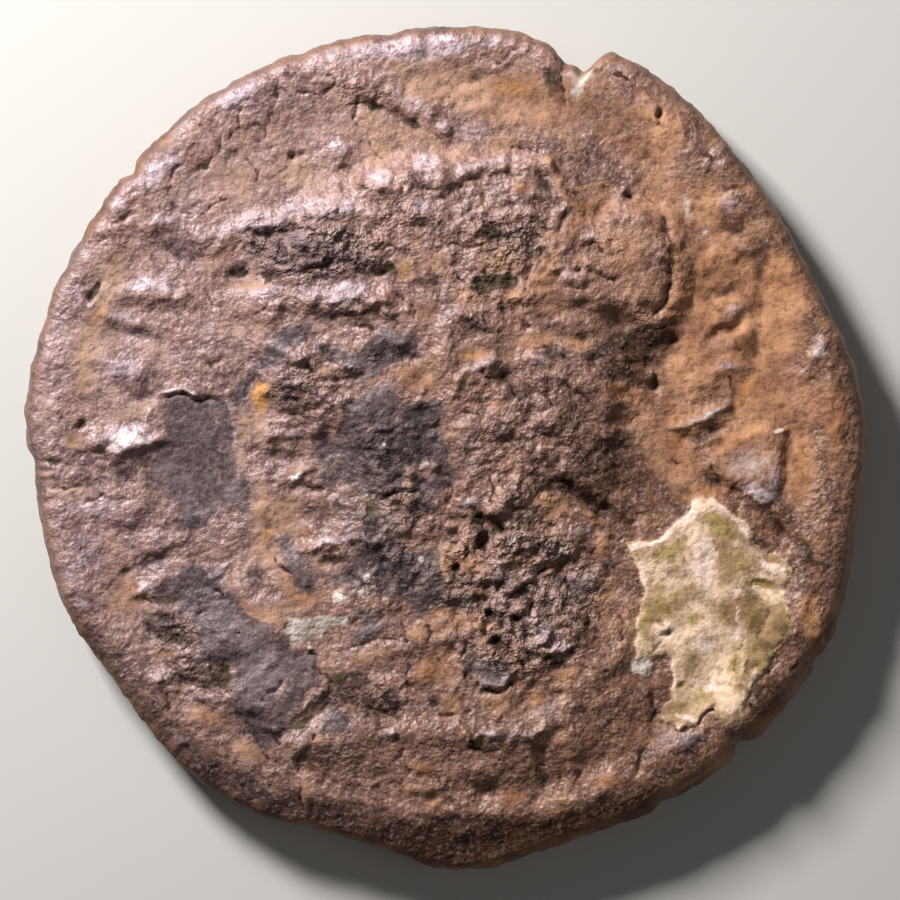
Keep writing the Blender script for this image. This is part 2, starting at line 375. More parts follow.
    (0.06, 0.06, -0.6, -8.62, -0.2, -8.5, 0.1, -8.3), (0.1, -0.05, -0.3, -7.6, -0.1, -8),
    (0.08, -0.05, -2, -8.6, -1.5, -8.5), (0.07, -0.04, -3.2, -0.98, -2.85, -1),
    (0.1, 0.09, -3.9, -0.82, -3.5, -0.72, -3.1, -0.55), (0.18, 0.05, -2.5, -3.8, -1.8, -3.7, -1.2, -3.85),
    (0.06, -0.03, -7.3, -3.62, -7, -3.66), (0.16, 0.09, -7.4, -3.45, -7.1, -3.3, -6.85, -3.15),
    (0.2, 0.04, -7, -4.88, -6.2, -4.85), (0.05, -0.06, -0.1, -5.05, 0.05, -5.4),
    # lower right
    (0.14, -0.09, 6.1, -0.62, 6.6, -1.05, 7.1, -1.38, 7.7, -1.72, 8.3, -2.12, 8.7, -2.45),
    (0.06, -0.07, 5.4, -0.28, 5.75, -0.55), (0.06, 0.05, 0.4, -9.3, 0.75, -9.05, 0.95, -8.92),
    (0.09, -0.13, 2, -0.66, 2.45, -0.74, 2.95, -0.88),
    (0.11, -0.12, 3, -0.98, 3.35, -1.25, 3.85, -1.55, 4.1, -1.85, 4.5, -2.02),
    (0.07, -0.13, 4.58, -1.6, 4.52, -1.98), (0.08, 0.09, 2.8, -1.48, 3.35, -1.6, 3.75, -1.85, 3.92, -2.15),
    (0.05, -0.07, 2.15, -1.78, 2.5, -1.8, 2.8, -1.7, 3.05, -1.52),
    (0.07, -0.1, 0, -0.6, 0.15, -0.95, 0.1, -1.3), (0.06, 0.08, 0.3, -1.3, 0.6, -1.38, 0.8, -1.3),
    (0.06, -0.08, 0.2, -1.6, 0.5, -1.7, 0.7, -1.6), (0.06, 0.08, 0.05, -1.95, 0.25, -1.88, 0.42, -2),
    (0.07, -0.09, 0.05, -2.2, 0.3, -2.3, 0.45, -2.15), (0.06, -0.08, 1, -0.6, 1.15, -1, 1.1, -1.3),
    (0.06, 0.07, 1.3, -1.2, 1.7, -1.15), (0.06, -0.08, 1.5, -1.5, 2, -1.45),
    (0.06, -0.09, -0.2, -3.32, 0.3, -3.4, 0.6, -3.25, 0.95, -3.3),
    (0.08, 0.09, 0.9, -3.1, 1.1, -2.75, 1.5, -2.72, 1.7, -2.85), (0.07, 0.08, 0.65, -3.5, 0.95, -3.42),
    (0.06, -0.09, 1, -3.4, 1.1, -3.75, 0.95, -4), (0.07, -0.09, 2, -3.4, 2.1, -3.7, 2, -4.1),
    (0.07, 0.08, 1.05, -3.84, 1.5, -3.86),
    (0.07, 0.09, 1.95, -4.35, 2.1, -4.62, 2.35, -4.62, 2.5, -4.4, 2.3, -4.2, 2.05, -4.22),
    (0.06, -0.09, 2.15, -4.38, 2.3, -4.48), (0.08, -0.1, 2.8, -3.98, 3.3, -4.05, 3.6, -4.3, 3.65, -4.6),
    (0.07, 0.08, 2.6, -4.2, 3.2, -4.25, 3.4, -4.5), (0.1, -0.12, 2.4, -5.4, 2.8, -5.15),
    (0.06, 0.09, 0.7, -5.55, 1, -5.72, 1.35, -5.62, 1.65, -5.3), (0.07, -0.1, 2.45, -5.88, 2.8, -5.9),
    (0.06, 0.08, 2.55, -5.75, 2.95, -5.78), (0.1, -0.06, 3.2, -5.85, 3.6, -5.9, 4, -5.65),
    (0.07, -0.07, 3, -3.3, 3.5, -3.5, 3.6, -3.8), (0.07, 0.07, 3.2, -3.1, 3.7, -3.2),
    (0.06, -0.06, 3.8, -2.9, 4.2, -3.3), (0.06, -0.06, 3.9, -3.7, 4.2, -4.1, 4.2, -4.6),
    (0.06, 0.06, 3.6, -4.9, 4, -5.1), (0.06, -0.07, 0.3, -4.3, 0.5, -4.7, 0.4, -5.1),
    (0.07, 0.07, 0, -4.55, 0.3, -4.9), (0.06, -0.06, 1.8, -5, 2, -5.4), (0.06, -0.06, 3.3, -5.2, 3.8, -5.3),
    (0.06, -0.07, 1.7, -2.2, 2.2, -2.3, 2.5, -2.2), (0.06, 0.05, 3, -2, 3.3, -2.3),
    (0.06, -0.06, 3.5, -2.4, 3.4, -2.8), (0.06, -0.07, 0.55, -2.45, 0.2, -2.7, 0, -2.6),
    (0.1, 0.09, 0.3, -6.62, 0.6, -6.85, 1, -6.8, 1.4, -6.72, 1.9, -6.86, 2.4, -6.75),
    (0.09, -0.07, 0.5, -7.05, 1, -7.2, 1.7, -7.12),
    (0.07, -0.05, 0.7, -6.98, 0.6, -6.78, 0.75, -6.68, 0.95, -6.72),
    (0.12, -0.07, 2.55, -6.9, 2.95, -6.6, 3.35, -6.25), (0.14, -0.08, 2.32, -7.2, 2.35, -7.8, 2.25, -8.4),
    (0.24, 0.06, 0.3, -8.45, 0.9, -8.75, 1.6, -8.5, 1.75, -8, 1.3, -7.65, 0.6, -7.8),
    (0.3, 0.06, 2.9, -8.3, 2.9, -7.4), (0.3, 0.06, 3.8, -8.2, 4, -7.3),
    (0.1, -0.06, 4.05, -7.25, 4.4, -7.45, 4.65, -7.3), (0.1, -0.06, 5, -6.2, 4.85, -6.9, 4.55, -7.7),
    (0.08, -0.04, -0.2, -6.4, 0.6, -6.3), (0.05, -0.08, 8.2, -4, 7.95, -4.6, 7.7, -5.2, 7.3, -5.8, 7, -6.3),
    (0.1, 0.05, 8.35, -4.25, 8.1, -4.9, 7.7, -5.6), (0.06, -0.04, 8.55, -4.8, 8.2, -5.5, 7.8, -6),
    (0.06, -0.05, 6, -7, 6.6, -7.05),
    (0.05, -0.07, 5.15, -6.62, 5.6, -6.76, 6.05, -6.5, 6.35, -6.15, 6.6, -6.5, 6.95, -6.5),
    (0.07, -0.05, 4.95, -5.8, 4.9, -6.7), (0.14, -0.06, 7.9, -1.95, 8.4, -2.4, 8.8, -2.7),
    (0.1, 0.05, 8.3, -3.2, 8.6, -3.9), (0.05, 0.03, 7.9, -4, 7.5, -4.9, 7.15, -5.7),
    (0.05, -0.03, 7.75, -3.9, 7.35, -4.8, 7, -5.6), (0.05, -0.03, 7.4, -3.7, 7.1, -4.6, 6.8, -5.6),
    (0.05, -0.04, 5.2, -4.6, 4.95, -4.95, 4.7, -4.98), (0.1, 0.07, 2.3, -2.85, 2.7, -2.62, 3.05, -2.42),
    (0.05, -0.06, 2.2, -3, 2.55, -2.92, 2.9, -2.7), (0.07, 0.08, 1.55, -3.4, 1.8, -3.3, 2.05, -3.15),
    (0.05, -0.07, 1.6, -3.52, 1.9, -3.36, 2.1, -3.25, 2.3, -2.98),
    (0.08, -0.17, 1.05, -3.97, 1.45, -4.04, 1.85, -3.95), (0.38, 0.06, 1, -1.6, 1.6, -1.25, 2.3, -1.05),
    (0.06, 0.07, 3, -3.6, 3.3, -3.9), (0.05, -0.06, 2.4, -3.5, 2.7, -3.75, 2.6, -4.1),
    (0.05, -0.06, 3.3, -2.9, 3.6, -3.1, 4, -3.05), (0.06, 0.07, 0.5, -3, 0.8, -2.95),
    (0.05, -0.06, 0.4, -2.2, 0.6, -2.5, 0.45, -2.75), (0.05, -0.06, 2.9, -3.1, 3, -3.5, 2.85, -3.8),
    (0.05, -0.06, 1.3, -4.3, 1.7, -4.4, 1.9, -4.7), (0.06, 0.08, 1.5, -4.25, 1.85, -4.25),
    (0.14, -0.03, 8.2, 0.4, 8.22, -0.5, 8.1, -1), (0.3, 0.07, 1.1, -1.8, 1.8, -1.5),
    (0.06, -0.05, 6.25, -0.45, 6.5, -0.7, 7, -1.05, 7.5, -1.4), (0.07, 0.05, 0.4, -1.6, 0.8, -1.4),
    (0.05, -0.05, 1.6, -1.9, 2.1, -1.75), (0.2, 0.05, 3, -3.4, 3.5, -3, 4, -2.8),
    (0.05, -0.05, 0.85, -5.8, 1.2, -5.9, 1.55, -5.65), (0.05, -0.05, 2.3, -4.98, 2.8, -5.05, 3.2, -4.9),
    (0.06, 0.08, 2.1, -4.78, 2.5, -4.9, 2.8, -4.86, 3.1, -4.7),
    (0.04, -0.04, 0.9, -5, 0.5, -5.3, 0.5, -5.7), (0.06, 0.06, 0.2, -5.1, 0.6, -5.35),
    (0.05, 0.06, 0.55, -5.75, 0.7, -5.5), (0.05, 0.06, 1.2, -6.4, 1.5, -6.2),
    (0.06, 0.07, 0.1, -4.3, 0.35, -4.6, 0.4, -4.9), (0.05, 0.06, 1.9, -5.6, 2.3, -5.5),
)

# Lumps (rise above 0) and pits (below 0): (x, y, half length, half width, rise, turn).
SPOTS = (
    # upper left
    (-3.62, 6.98, 0.14, 0.11, -0.16), (-3.36, 6.94, 0.12, 0.08, -0.12), (-2.45, 7, 0.3, 0.32, 0.11),
    (-2.4, 6.6, 0.24, 0.16, -0.09), (-5.05, 6.9, 0.22, 0.2, -0.05), (-5.2, 8, 0.5, 0.2, -0.05, 25),
    (-1.1, 2.5, 0.3, 0.24, 0.1), (-0.85, 2.15, 0.25, 0.16, -0.1), (-7.65, 5.45, 0.28, 0.14, -0.06, 25),
    (-8.6, 3.15, 0.12, 0.1, -0.06), (-1.7, 7.55, 0.12, 0.1, -0.05), (-6.35, 5.72, 0.16, 0.08, -0.06, -25),
    (-8.62, 0.55, 0.26, 0.16, -0.12, 20), (-6.3, 4.75, 0.8, 0.4, -0.05, -15), (-2.8, 4.75, 0.2, 0.14, 0.08),
    (-0.85, 4.3, 0.22, 0.18, 0.07), (-4.6, 4.3, 0.14, 0.1, 0.08, 20), (-0.66, 0.22, 0.1, 0.09, 0.07),
    (-0.3, 0.2, 0.09, 0.08, 0.07), (-0.6, 1.1, 0.14, 0.06, 0.06, 10), (-0.5, 0.85, 0.24, 0.1, -0.05),
    (-0.44, 1.34, 0.09, 0.08, 0.06), (-8.18, 3.86, 0.2, 0.12, -0.13, 66),
    (-8.4, 3.55, 0.19, 0.13, -0.12, 40), (-5.02, 4.08, 0.15, 0.11, -0.12, 10),
    (-4.8, 4.22, 0.14, 0.09, -0.1, 35), (-4.2, 4.12, 0.14, 0.09, -0.1, -30),
    # upper right
    (1.8, 6.15, 0.28, 0.22, 0.07), (2.3, 6.42, 0.2, 0.15, -0.1), (1.05, 3.78, 0.4, 0.18, -0.08, 10),
    (1.4, 3.2, 0.12, 0.22, -0.14), (1.92, 2.84, 0.13, 0.1, -0.14, 20), (3.15, 4.24, 0.11, 0.09, -0.14),
    (2.6, 4.38, 0.09, 0.08, -0.1), (4.4, 5.93, 0.17, 0.1, -0.16, 15), (4.2, 6.07, 0.2, 0.1, 0.08, 10),
    (5.12, 7.86, 0.12, 0.16, -0.16, -30), (4.98, 7.95, 0.12, 0.1, 0.08), (5, 7.7, 0.1, 0.1, 0.07),
    (6.45, 4.35, 0.5, 0.4, 0.05, 10), (9.1, 2.3, 0.5, 0.5, 0.06), (5.45, 2.5, 0.14, 0.11, -0.14, 30),
    (5.02, 1.5, 0.15, 0.26, -0.18, 10), (4.93, 1.68, 0.1, 0.1, 0.08), (8, 0.42, 0.12, 0.1, 0.07),
    (0, 7.55, 0.3, 0.2, 0.08), (0.1, 7.2, 0.25, 0.15, -0.06), (1.5, 5.45, 0.3, 0.25, 0.06),
    (2.3, 4.55, 0.14, 0.2, -0.08), (3.3, 3.4, 0.3, 0.2, -0.05), (3.7, 3.3, 0.2, 0.16, 0.05),
    (0.4, 0.2, 0.4, 0.25, 0.06), (2.9, 0.4, 0.6, 0.4, 0.05), (1.3, 0.1, 0.4, 0.25, -0.06),
    # lower left
    (-0.9, -0.62, 0.22, 0.2, 0.12), (-0.35, -0.45, 0.24, 0.22, 0.12), (-2.75, -2.75, 0.4, 0.2, -0.08, 10),
    (-2.65, -1.3, 0.2, 0.16, 0.1), (-2.2, -1.42, 0.2, 0.16, 0.1), (-2, -1.62, 0.16, 0.18, 0.09),
    (-2.48, -3.6, 0.2, 0.17, 0.08), (-1.85, -3.15, 0.13, 0.12, 0.07), (-4.95, -4.35, 0.16, 0.13, 0.08),
    (-4.93, -4.42, 0.09, 0.08, -0.12), (-5.85, -3.92, 0.12, 0.1, -0.13), (-6.1, -4.75, 0.1, 0.08, -0.1),
    (-6.2, -4.1, 0.18, 0.12, 0.07), (-1.24, -6.78, 0.18, 0.13, 0.11, 20), (-0.8, -7.74, 0.11, 0.08, -0.12),
    (-0.6, -7.65, 0.32, 0.2, 0.08), (-9.4, -0.72, 0.24, 0.14, 0.08), (-9.3, -0.3, 0.24, 0.14, -0.07),
    (-6.2, -6.96, 0.2, 0.12, 0.08), (-5.85, -6.7, 0.08, 0.07, -0.09), (-1.7, -2.3, 0.2, 0.12, 0.07),
    (-1, -2, 0.3, 0.16, 0.07, 10), (-0.5, -5.4, 0.35, 0.35, 0.06), (-3.25, -4.82, 0.12, 0.08, 0.07),
    (-2.6, -6.5, 0.3, 0.3, 0.05), (-4.35, -3, 0.3, 0.35, -0.05), (-1.7, -1.5, 0.2, 0.3, -0.08),
    (-2.2, -3.1, 0.25, 0.16, -0.08), (-1.4, -2.7, 0.16, 0.14, -0.1), (-0.6, -0.95, 0.2, 0.1, -0.08),
    (-1.6, -0.7, 0.14, 0.12, -0.06), (-8.65, -0.15, 0.14, 0.1, -0.07), (-3, -1, 0.3, 0.14, -0.05),
    (-0.65, -4.4, 0.3, 0.25, 0.05), (-0.1, -4.15, 0.3, 0.2, 0.06, 10), (-6.6, -3.98, 0.3, 0.16, 0.04),
    (-7.5, -0.5, 0.8, 0.35, 0.05), (-0.2, -6.05, 0.16, 0.12, -0.06), (-3.15, -4.98, 0.2, 0.07, -0.07, -10),
    # lower right
    (0.85, -1.7, 0.14, 0.14, -0.1), (1.35, -3.05, 0.22, 0.2, 0.05), (1.3, -3.4, 0.14, 0.14, -0.12),
    (1.75, -4.02, 0.16, 0.12, -0.18), (1.15, -4.66, 0.34, 0.28, 0.05), (1.15, -5.1, 0.42, 0.3, 0.09),
    (2.1, -5.6, 0.1, 0.09, -0.12), (0.6, -7.8, 0.09, 0.07, -0.1), (1, -8.2, 0.4, 0.25, -0.08),
    (3.2, -7.78, 0.09, 0.08, -0.08), (6.46, -7.45, 0.09, 0.24, 0.06, -20), (4.72, -5.25, 0.26, 0.24, 0.04),
    (8.7, -4.4, 0.45, 0.6, 0.05), (3.75, -2.35, 0.35, 0.4, 0.08), (2.5, -1.25, 0.4, 0.3, 0.06),
    (0.85, -4.28, 0.18, 0.16, 0.1), (6.1, -2.7, 0.5, 0.9, 0.03), (5.28, -4.4, 0.12, 0.1, -0.1),
    (5.3, -4.3, 0.24, 0.2, 0.04), (7.75, -2.85, 0.4, 0.16, 0.05, -8), (7.6, -3.25, 0.3, 0.12, -0.06, 10),
    (5.6, -5.65, 0.14, 0.12, -0.07), (0.8, -0.5, 0.2, 0.15, 0.06), (2.2, -3.55, 0.2, 0.15, 0.07),
    (2.8, -3.5, 0.2, 0.14, 0.06, 20), (3.2, -4.5, 0.14, 0.12, 0.07), (0.1, -3.6, 0.2, 0.14, 0.06),
    (0.5, -5, 0.2, 0.14, 0.05), (1.6, -2.45, 0.14, 0.1, -0.08), (3.55, -1.45, 0.1, 0.09, 0.06),
    (2.85, -0.5, 0.16, 0.2, 0.06), (6.9, -5.3, 0.2, 0.4, 0.04, -20), (1.2, -4.64, 0.25, 0.19, -0.22),
    (0.26, -2.93, 0.12, 0.2, -0.26), (3.5, -3.3, 0.14, 0.1, 0.06), (1.1, -5.86, 0.22, 0.11, -0.12, -6),
    (1.52, -5.64, 0.14, 0.09, -0.09, 30), (2.02, -4.86, 0.14, 0.09, -0.1, -30),
    (3.05, -4.86, 0.12, 0.07, -0.07, 20), (0.25, -5.85, 0.12, 0.09, -0.07), (2.75, -5.9, 0.12, 0.08, -0.08),
)

# Stains, as spots: (x, y, half length, half width, amount, turn). Amounts below 0 take some away.
STAIN_SPOTS = {
    # orange-tan earth
    "earth": (
        (-4.35, 1.35, 0.27, 0.34, 2), (-4.75, 0.45, 0.25, 0.5, 0.9), (-6.75, 7, 0.7, 0.18, 0.8, 42),
        (-8.3, 5.5, 0.5, 0.16, 0.8, 60), (-2.6, 7.7, 0.9, 0.4, 0.35, -25), (-4.55, 4.12, 0.16, 0.14, 1.3),
        (-3.2, 4.18, 0.14, 0.12, 1.2), (-0.95, 4.2, 0.28, 0.25, 1.2), (-4.5, 3.85, 0.5, 0.14, 0.6),
        (-2.75, 1.78, 0.4, 0.15, 1, 15), (-8.75, 0.12, 0.42, 0.25, 1.1), (-8.2, 2.6, 0.8, 1.3, 0.25),
        (-5.3, 4.6, 0.6, 0.4, 0.35), (-0.7, 4.9, 0.3, 0.3, 0.6), (-0.5, 3.1, 0.4, 0.3, 0.5),
        (-6.9, 0.02, 0.16, 0.1, 1.4, 20), (-4.3, 2.85, 0.4, 0.3, 0.3), (-7.5, 0.8, 0.9, 0.3, 0.4, 15),
        (-9.6, 1, 0.2, 1.6, 0.4), (7, 3, 3.2, 6, 0.6, 10), (2, 8.3, 3.4, 0.8, 0.7, -6),
        (4.6, 7.6, 1.4, 1.2, 0.7, -30), (1.8, 8.55, 1.1, 0.4, 0.6), (1.6, 7.95, 1.8, 0.28, 0.4),
        (3.9, 4.6, 1.6, 1.5, 0.15), (1.8, 6.12, 0.32, 0.25, 1.1), (1.6, 5.4, 0.35, 0.3, 0.8),
        (2.5, 5.1, 0.3, 0.16, 0.8), (1.2, 4.3, 0.8, 0.5, 0.55), (0.5, 3.5, 0.5, 0.4, 0.6),
        (1.65, 3.6, 0.3, 0.16, 1.2, 15), (2.2, 2.5, 0.6, 0.22, 1.3), (0.7, 2.1, 0.5, 0.28, 1.2),
        (4.2, 1.28, 0.65, 0.3, 1.3, -5), (3.1, 2.45, 0.4, 0.25, 0.8, 20), (2.6, 3.6, 0.6, 0.8, 0.6),
        (8.1, 3.7, 0.7, 1.3, 0.7, 15), (7.3, 1.3, 0.6, 0.4, 0.7, 30), (9, 0.9, 0.6, 0.9, 0.5),
        (6.4, 4.4, 0.6, 0.4, 0.6, 10), (6.9, 0.1, 1, 0.35, 0.5, 20), (5.3, 7.4, 0.6, 0.8, 0.6),
        (0.3, 0.4, 0.6, 0.3, 0.5), (1.3, 1, 0.3, 0.2, 0.5), (3.4, 5.6, 0.8, 0.3, 0.7, 20),
        (-0.1, 4.4, 0.4, 0.3, 0.5), (0.4, 1.6, 0.6, 0.25, 0.5, 30), (3.75, -2.35, 0.32, 0.42, 1),
        (3.6, -1.75, 0.5, 0.14, 0.9, -30), (0.4, -2.8, 0.7, 0.22, 1.1), (1.7, -2.75, 0.3, 0.2, 0.9, -20),
        (0.8, -3.47, 0.22, 0.12, 1.3), (-0.45, -5.4, 0.36, 0.36, 1.1), (1.9, -3.6, 0.4, 0.14, 1.1, 20),
        (2.5, -3, 0.5, 0.12, 0.8, 25), (3.2, -4.75, 0.4, 0.16, 0.7), (1.6, -8.35, 0.5, 0.3, 1, 20),
        (-0.55, -7.62, 0.4, 0.24, 1.2), (3.9, -7.95, 0.4, 0.3, 1.2), (5.6, -7.8, 0.9, 0.3, 0.5, 35),
        (-5.5, -6.45, 0.8, 0.35, 0.9, -10), (-6.6, -4.88, 0.6, 0.16, 1.2), (-4.7, -7.3, 0.9, 0.4, 0.5, -15),
        (-6.35, -5.75, 0.25, 0.3, 1), (-4.97, -4.95, 0.2, 0.14, 1), (-1.9, -5, 0.6, 0.2, 0.5, 20),
        (-2.9, -6.92, 0.25, 0.18, 1.2), (-2.8, -2.8, 0.45, 0.24, 0.8), (8.5, -0.5, 0.45, 1.4, 0.8),
        (5.5, -0.1, 0.8, 1.2, 0.7), (7.9, -1.9, 0.4, 0.3, 0.4, -30), (6, -1.15, 0.9, 0.3, 0.8, 10),
        (-7.6, -3.6, 0.35, 0.6, 1), (-7.4, -3.3, 0.2, 0.14, 1.3, 30), (-7.1, -3.9, 0.3, 0.3, 0.5),
        (-4.9, -0.4, 0.16, 0.5, 0.9), (-0.1, -2.9, 0.2, 0.4, 1.1), (-3.1, -3.6, 0.5, 0.22, 0.9),
        (-8.4, -5.3, 0.3, 0.2, 0.4), (-8, -2.3, 0.4, 0.3, 0.5), (3, -8.9, 0.9, 0.12, 0.9, 8),
        (-3.3, -8.3, 0.16, 0.5, 1.1), (-1.3, -8.7, 0.3, 0.14, 0.9), (-0.3, -8.5, 0.4, 0.12, 0.7, 20),
        (-9.4, -0.78, 0.3, 0.16, 0.9), (2.7, -7, 0.5, 0.3, 0.5), (3.4, -7, 0.6, 0.4, 0.5),
        (-1.8, -6.7, 0.3, 0.2, 0.6), (4.9, -7, 0.5, 0.3, 0.4, 40), (-0.3, -3.9, 0.4, 0.14, 0.7),
        (0.1, -6.1, 0.5, 0.3, 0.5), (8.9, -2.3, 0.3, 0.4, 0.6), (1.8, -9.3, 0.8, 0.12, 0.6, 8),
        (0.8, -9, 0.4, 0.08, 0.9, 40), (-7, -7.3, 0.5, 0.3, 0.4, -35), (-8.2, -4.7, 0.2, 0.4, 0.5, 30),
        (7, -8, 0.5, 0.2, 0.5, 40), (9.3, 0.4, 0.35, 1.6, 0.8), (-5.6, -7.2, 0.8, 0.3, 0.7, -35),
        (4, 4.4, 1.6, 1.2, 0.35), (-0.5, 8.5, 0.8, 0.35, 0.75, -25), (-0.7, 1.65, 0.55, 0.35, 0.9, -10),
        (-8.85, 0.1, 0.25, 0.25, 0.7), (-0.1, -4.15, 0.4, 0.24, 0.8, 10), (-0.65, -4.42, 0.35, 0.3, 0.8),
        (-3.6, -0.6, 0.5, 0.16, 0.8, 10), (-4, -1.5, 0.7, 0.6, 0.7), (-4.2, -2.1, 0.2, 0.3, 1.1),
        (2.5, -1.3, 0.55, 0.34, 0.55), (0.85, -4.28, 0.22, 0.19, 1.6), (-4.38, 1.28, 0.32, 0.32, 1.5),
        (-3.1, 6.8, 1, 0.4, -0.15), (-1.3, 7.6, 0.8, 0.5, -0.1, -35), (8.72, -4.2, 0.32, 0.9, 1.9, 8),
        (1.4, 8.5, 1.3, 0.4, 0.7, -4), (3.1, 8.6, 0.4, 0.6, 0.8), (-4.6, -7.3, 0.9, 0.35, 0.5, -15),
        (-0.6, 2, 0.5, 0.3, 0.3, 20), (5.5, 4.6, 0.2, 0.8, 0.3), (7.15, 1.38, 0.3, 0.2, 1.2, 20),
        (-8, 2.6, 0.6, 0.8, 0.5), (-4.35, 1.1, 0.3, 0.5, 1.4), (-0.7, 9.3, 1.4, 0.3, 0.4, 6),
        (-6, -7.2, 0.7, 0.4, 0.7, -30), (-5.6, -6.5, 0.9, 0.4, 0.5, -20), (2.25, -6.05, 0.3, 0.4, 0.7),
        (2.85, -5.42, 0.5, 0.24, 0.8, 20), (-0.2, -5.2, 0.5, 0.6, 0.5), (0.1, -4.35, 0.5, 0.3, 0.6),
        (0.7, -4.6, 0.4, 0.25, 0.8), (-0.9, -0.66, 0.28, 0.28, 0.6), (-0.4, -0.58, 0.3, 0.3, 0.6),
        (-0.5, 1.45, 0.6, 0.3, 0.3, 10), (7.1, -0.35, 1, 0.7, 1), (-4.6, 3.85, 0.9, 0.2, 0.5),
        (-1, 4.2, 0.3, 0.25, 0.8), (-0.5, 3.3, 0.4, 0.4, 0.6), (1.9, -6.05, 1.3, 0.5, 0.5),
        (0.3, -4.4, 0.9, 0.5, 0.35), (0.8, 5, 0.5, 0.4, 0.4), (-4.35, 1.15, 0.36, 0.5, 1),
        (1, -4.6, 2.2, 2.4, 0.25), (1.85, 6.1, 0.34, 0.28, 0.5), (0.7, 2.2, 0.5, 0.25, 0.8),
        (5.5, 3.4, 0.3, 0.6, 0.5, -20),
    ),
    # smooth charcoal patina
    "charcoal": (
        (-1.4, 1.35, 0.5, 0.35, 0.7), (-3.6, 0, 0.5, 0.3, 0.4), (2.6, 2.15, 0.5, 0.16, 0.8, -15),
        (1.4, 3.2, 0.16, 0.24, 0.8), (2.3, 6.3, 0.2, 0.3, 0.6), (0.6, -3.7, 0.45, 0.3, 1.2, 20),
        (-2.6, -6.55, 0.32, 0.28, 1.2), (-4.3, -6.95, 0.3, 0.35, 1), (-4.8, -1.2, 0.24, 0.55, 1.1),
        (1.35, -3.15, 0.28, 0.4, 0.9), (-2, -5.4, 0.25, 0.35, 0.8), (2.4, -2.3, 0.6, 0.3, 0.5, 10),
        (0.2, -4, 0.3, 0.2, 0.5), (2.2, -6.9, 0.3, 0.1, 0.4), (0.7, -6.8, 0.3, 0.14, 0.7),
        (-3.2, -4.4, 1.2, 0.75, -1, 10), (-6, -1.75, 0.9, 0.35, 0.6), (-0.6, -1.35, 0.6, 0.3, 0.7),
        (-1.2, -1.9, 0.5, 0.3, 0.5), (1.05, -5.18, 0.85, 0.5, 1, -10), (-0.2, 0.85, 0.5, 0.35, 0.7),
        (0.1, 0.3, 0.4, 0.6, 0.5), (-0.55, 0.85, 0.45, 0.22, 0.9), (-0.88, -0.66, 0.28, 0.34, -1.5),
        (-0.4, -0.6, 0.32, 0.36, -1.5), (-2.75, 0.6, 0.45, 0.4, -0.7), (-4.35, 1.2, 0.4, 0.5, -0.9),
        (-1.9, -4.35, 1.3, 0.5, 0.95, 8), (-2.55, -6.5, 0.7, 0.36, 1, -20), (3, -3.2, 1.8, 1.3, 0.5),
        (5.6, -6.95, 1, 0.35, 0.6, -10), (1.4, -2.4, 0.9, 0.5, 0.4),
    ),
    # umber in deep and shadowed places
    "umber": (
        (-7.1, 2.62, 0.7, 0.22, 0.9, -20), (-7.3, 1.3, 0.5, 0.2, 0.9, -10), (-4.9, 4.15, 0.4, 0.25, 0.8),
        (-1.8, 4.2, 0.8, 0.25, 0.8), (-1.4, 2.3, 0.8, 0.4, 0.9), (-3.6, 1.2, 0.9, 0.5, 0.6),
        (-5.3, 7.95, 0.6, 0.3, 0.6, 25), (-5.1, 6.9, 0.35, 0.3, 0.7), (-6.4, 5.75, 0.4, 0.14, 0.6, -20),
        (-2.9, 8.7, 0.5, 0.25, 0.5), (-0.45, 6.2, 0.5, 0.22, 0.9), (-2.35, 6.6, 0.3, 0.2, 0.7),
        (-1.4, 6.05, 0.6, 0.2, 0.8, -15), (-0.4, 5.2, 0.5, 0.3, 0.8), (-0.5, 3.9, 0.5, 0.3, 0.9),
        (-9, 4, 0.2, 0.8, 0.3, 15), (-5.2, 2.5, 0.5, 0.3, 0.4), (-3.9, 7.9, 0.5, 0.9, 0.25, 10),
        (-0.6, 9, 0.9, 0.2, 0.4, -10), (4.5, 2.35, 1.5, 0.85, 1.5, 8), (3.3, 6.85, 1.1, 0.75, 0.75, -15),
        (3, 6.3, 0.5, 0.5, 0.4), (2.6, 8.75, 0.3, 0.55, 1.1), (1.5, 9.28, 0.4, 0.14, 1, 30),
        (0.8, 8.78, 0.7, 0.16, 0.8, 25), (0, 8.6, 0.35, 0.2, 0.7), (4.2, 8.3, 0.35, 0.3, 0.6),
        (4.35, 6.15, 0.35, 0.25, 0.5), (6.05, 7.4, 0.4, 0.6, 0.5, -30), (6.75, 6.12, 0.4, 0.15, 1.1),
        (6.9, 5.12, 0.42, 0.2, 1.2), (6.8, 3.75, 0.5, 0.17, 1, 30), (7.5, 4.2, 0.28, 1.4, 0.8),
        (7.3, 5.5, 0.5, 0.5, 0.4), (7.25, 2.3, 0.25, 0.9, 0.9, -10), (6.7, 2.7, 0.45, 0.14, 0.8, 20),
        (6.85, 1.3, 0.2, 0.5, 0.9), (6.2, 0.32, 0.6, 0.22, 1.2, 25), (8.85, 1.6, 0.4, 0.12, 0.8, 10),
        (5.75, 4.2, 0.2, 1.3, 0.6), (4.9, 4.4, 0.5, 1.2, 0.35), (3.3, 3.3, 0.5, 0.35, 0.6),
        (1.2, 5.1, 0.5, 0.2, 0.8), (0.5, 4.9, 0.5, 0.3, 0.5), (2.3, 5.7, 0.5, 0.5, 0.5),
        (0.7, 2.85, 0.6, 0.18, 0.9, -8), (1.4, 1.6, 0.5, 0.3, 0.8, -20), (2.3, 1.5, 0.7, 0.4, 0.6),
        (1, 0.6, 0.8, 0.5, 0.4), (8.45, 0.3, 0.2, 0.3, 0.4), (0.2, 5.6, 0.4, 0.3, 0.5),
        (2.5, 7.3, 0.5, 0.3, 0.4), (0.1, 7.2, 0.3, 0.15, 0.6), (2.9, -0.1, 1, 1.1, 0.6),
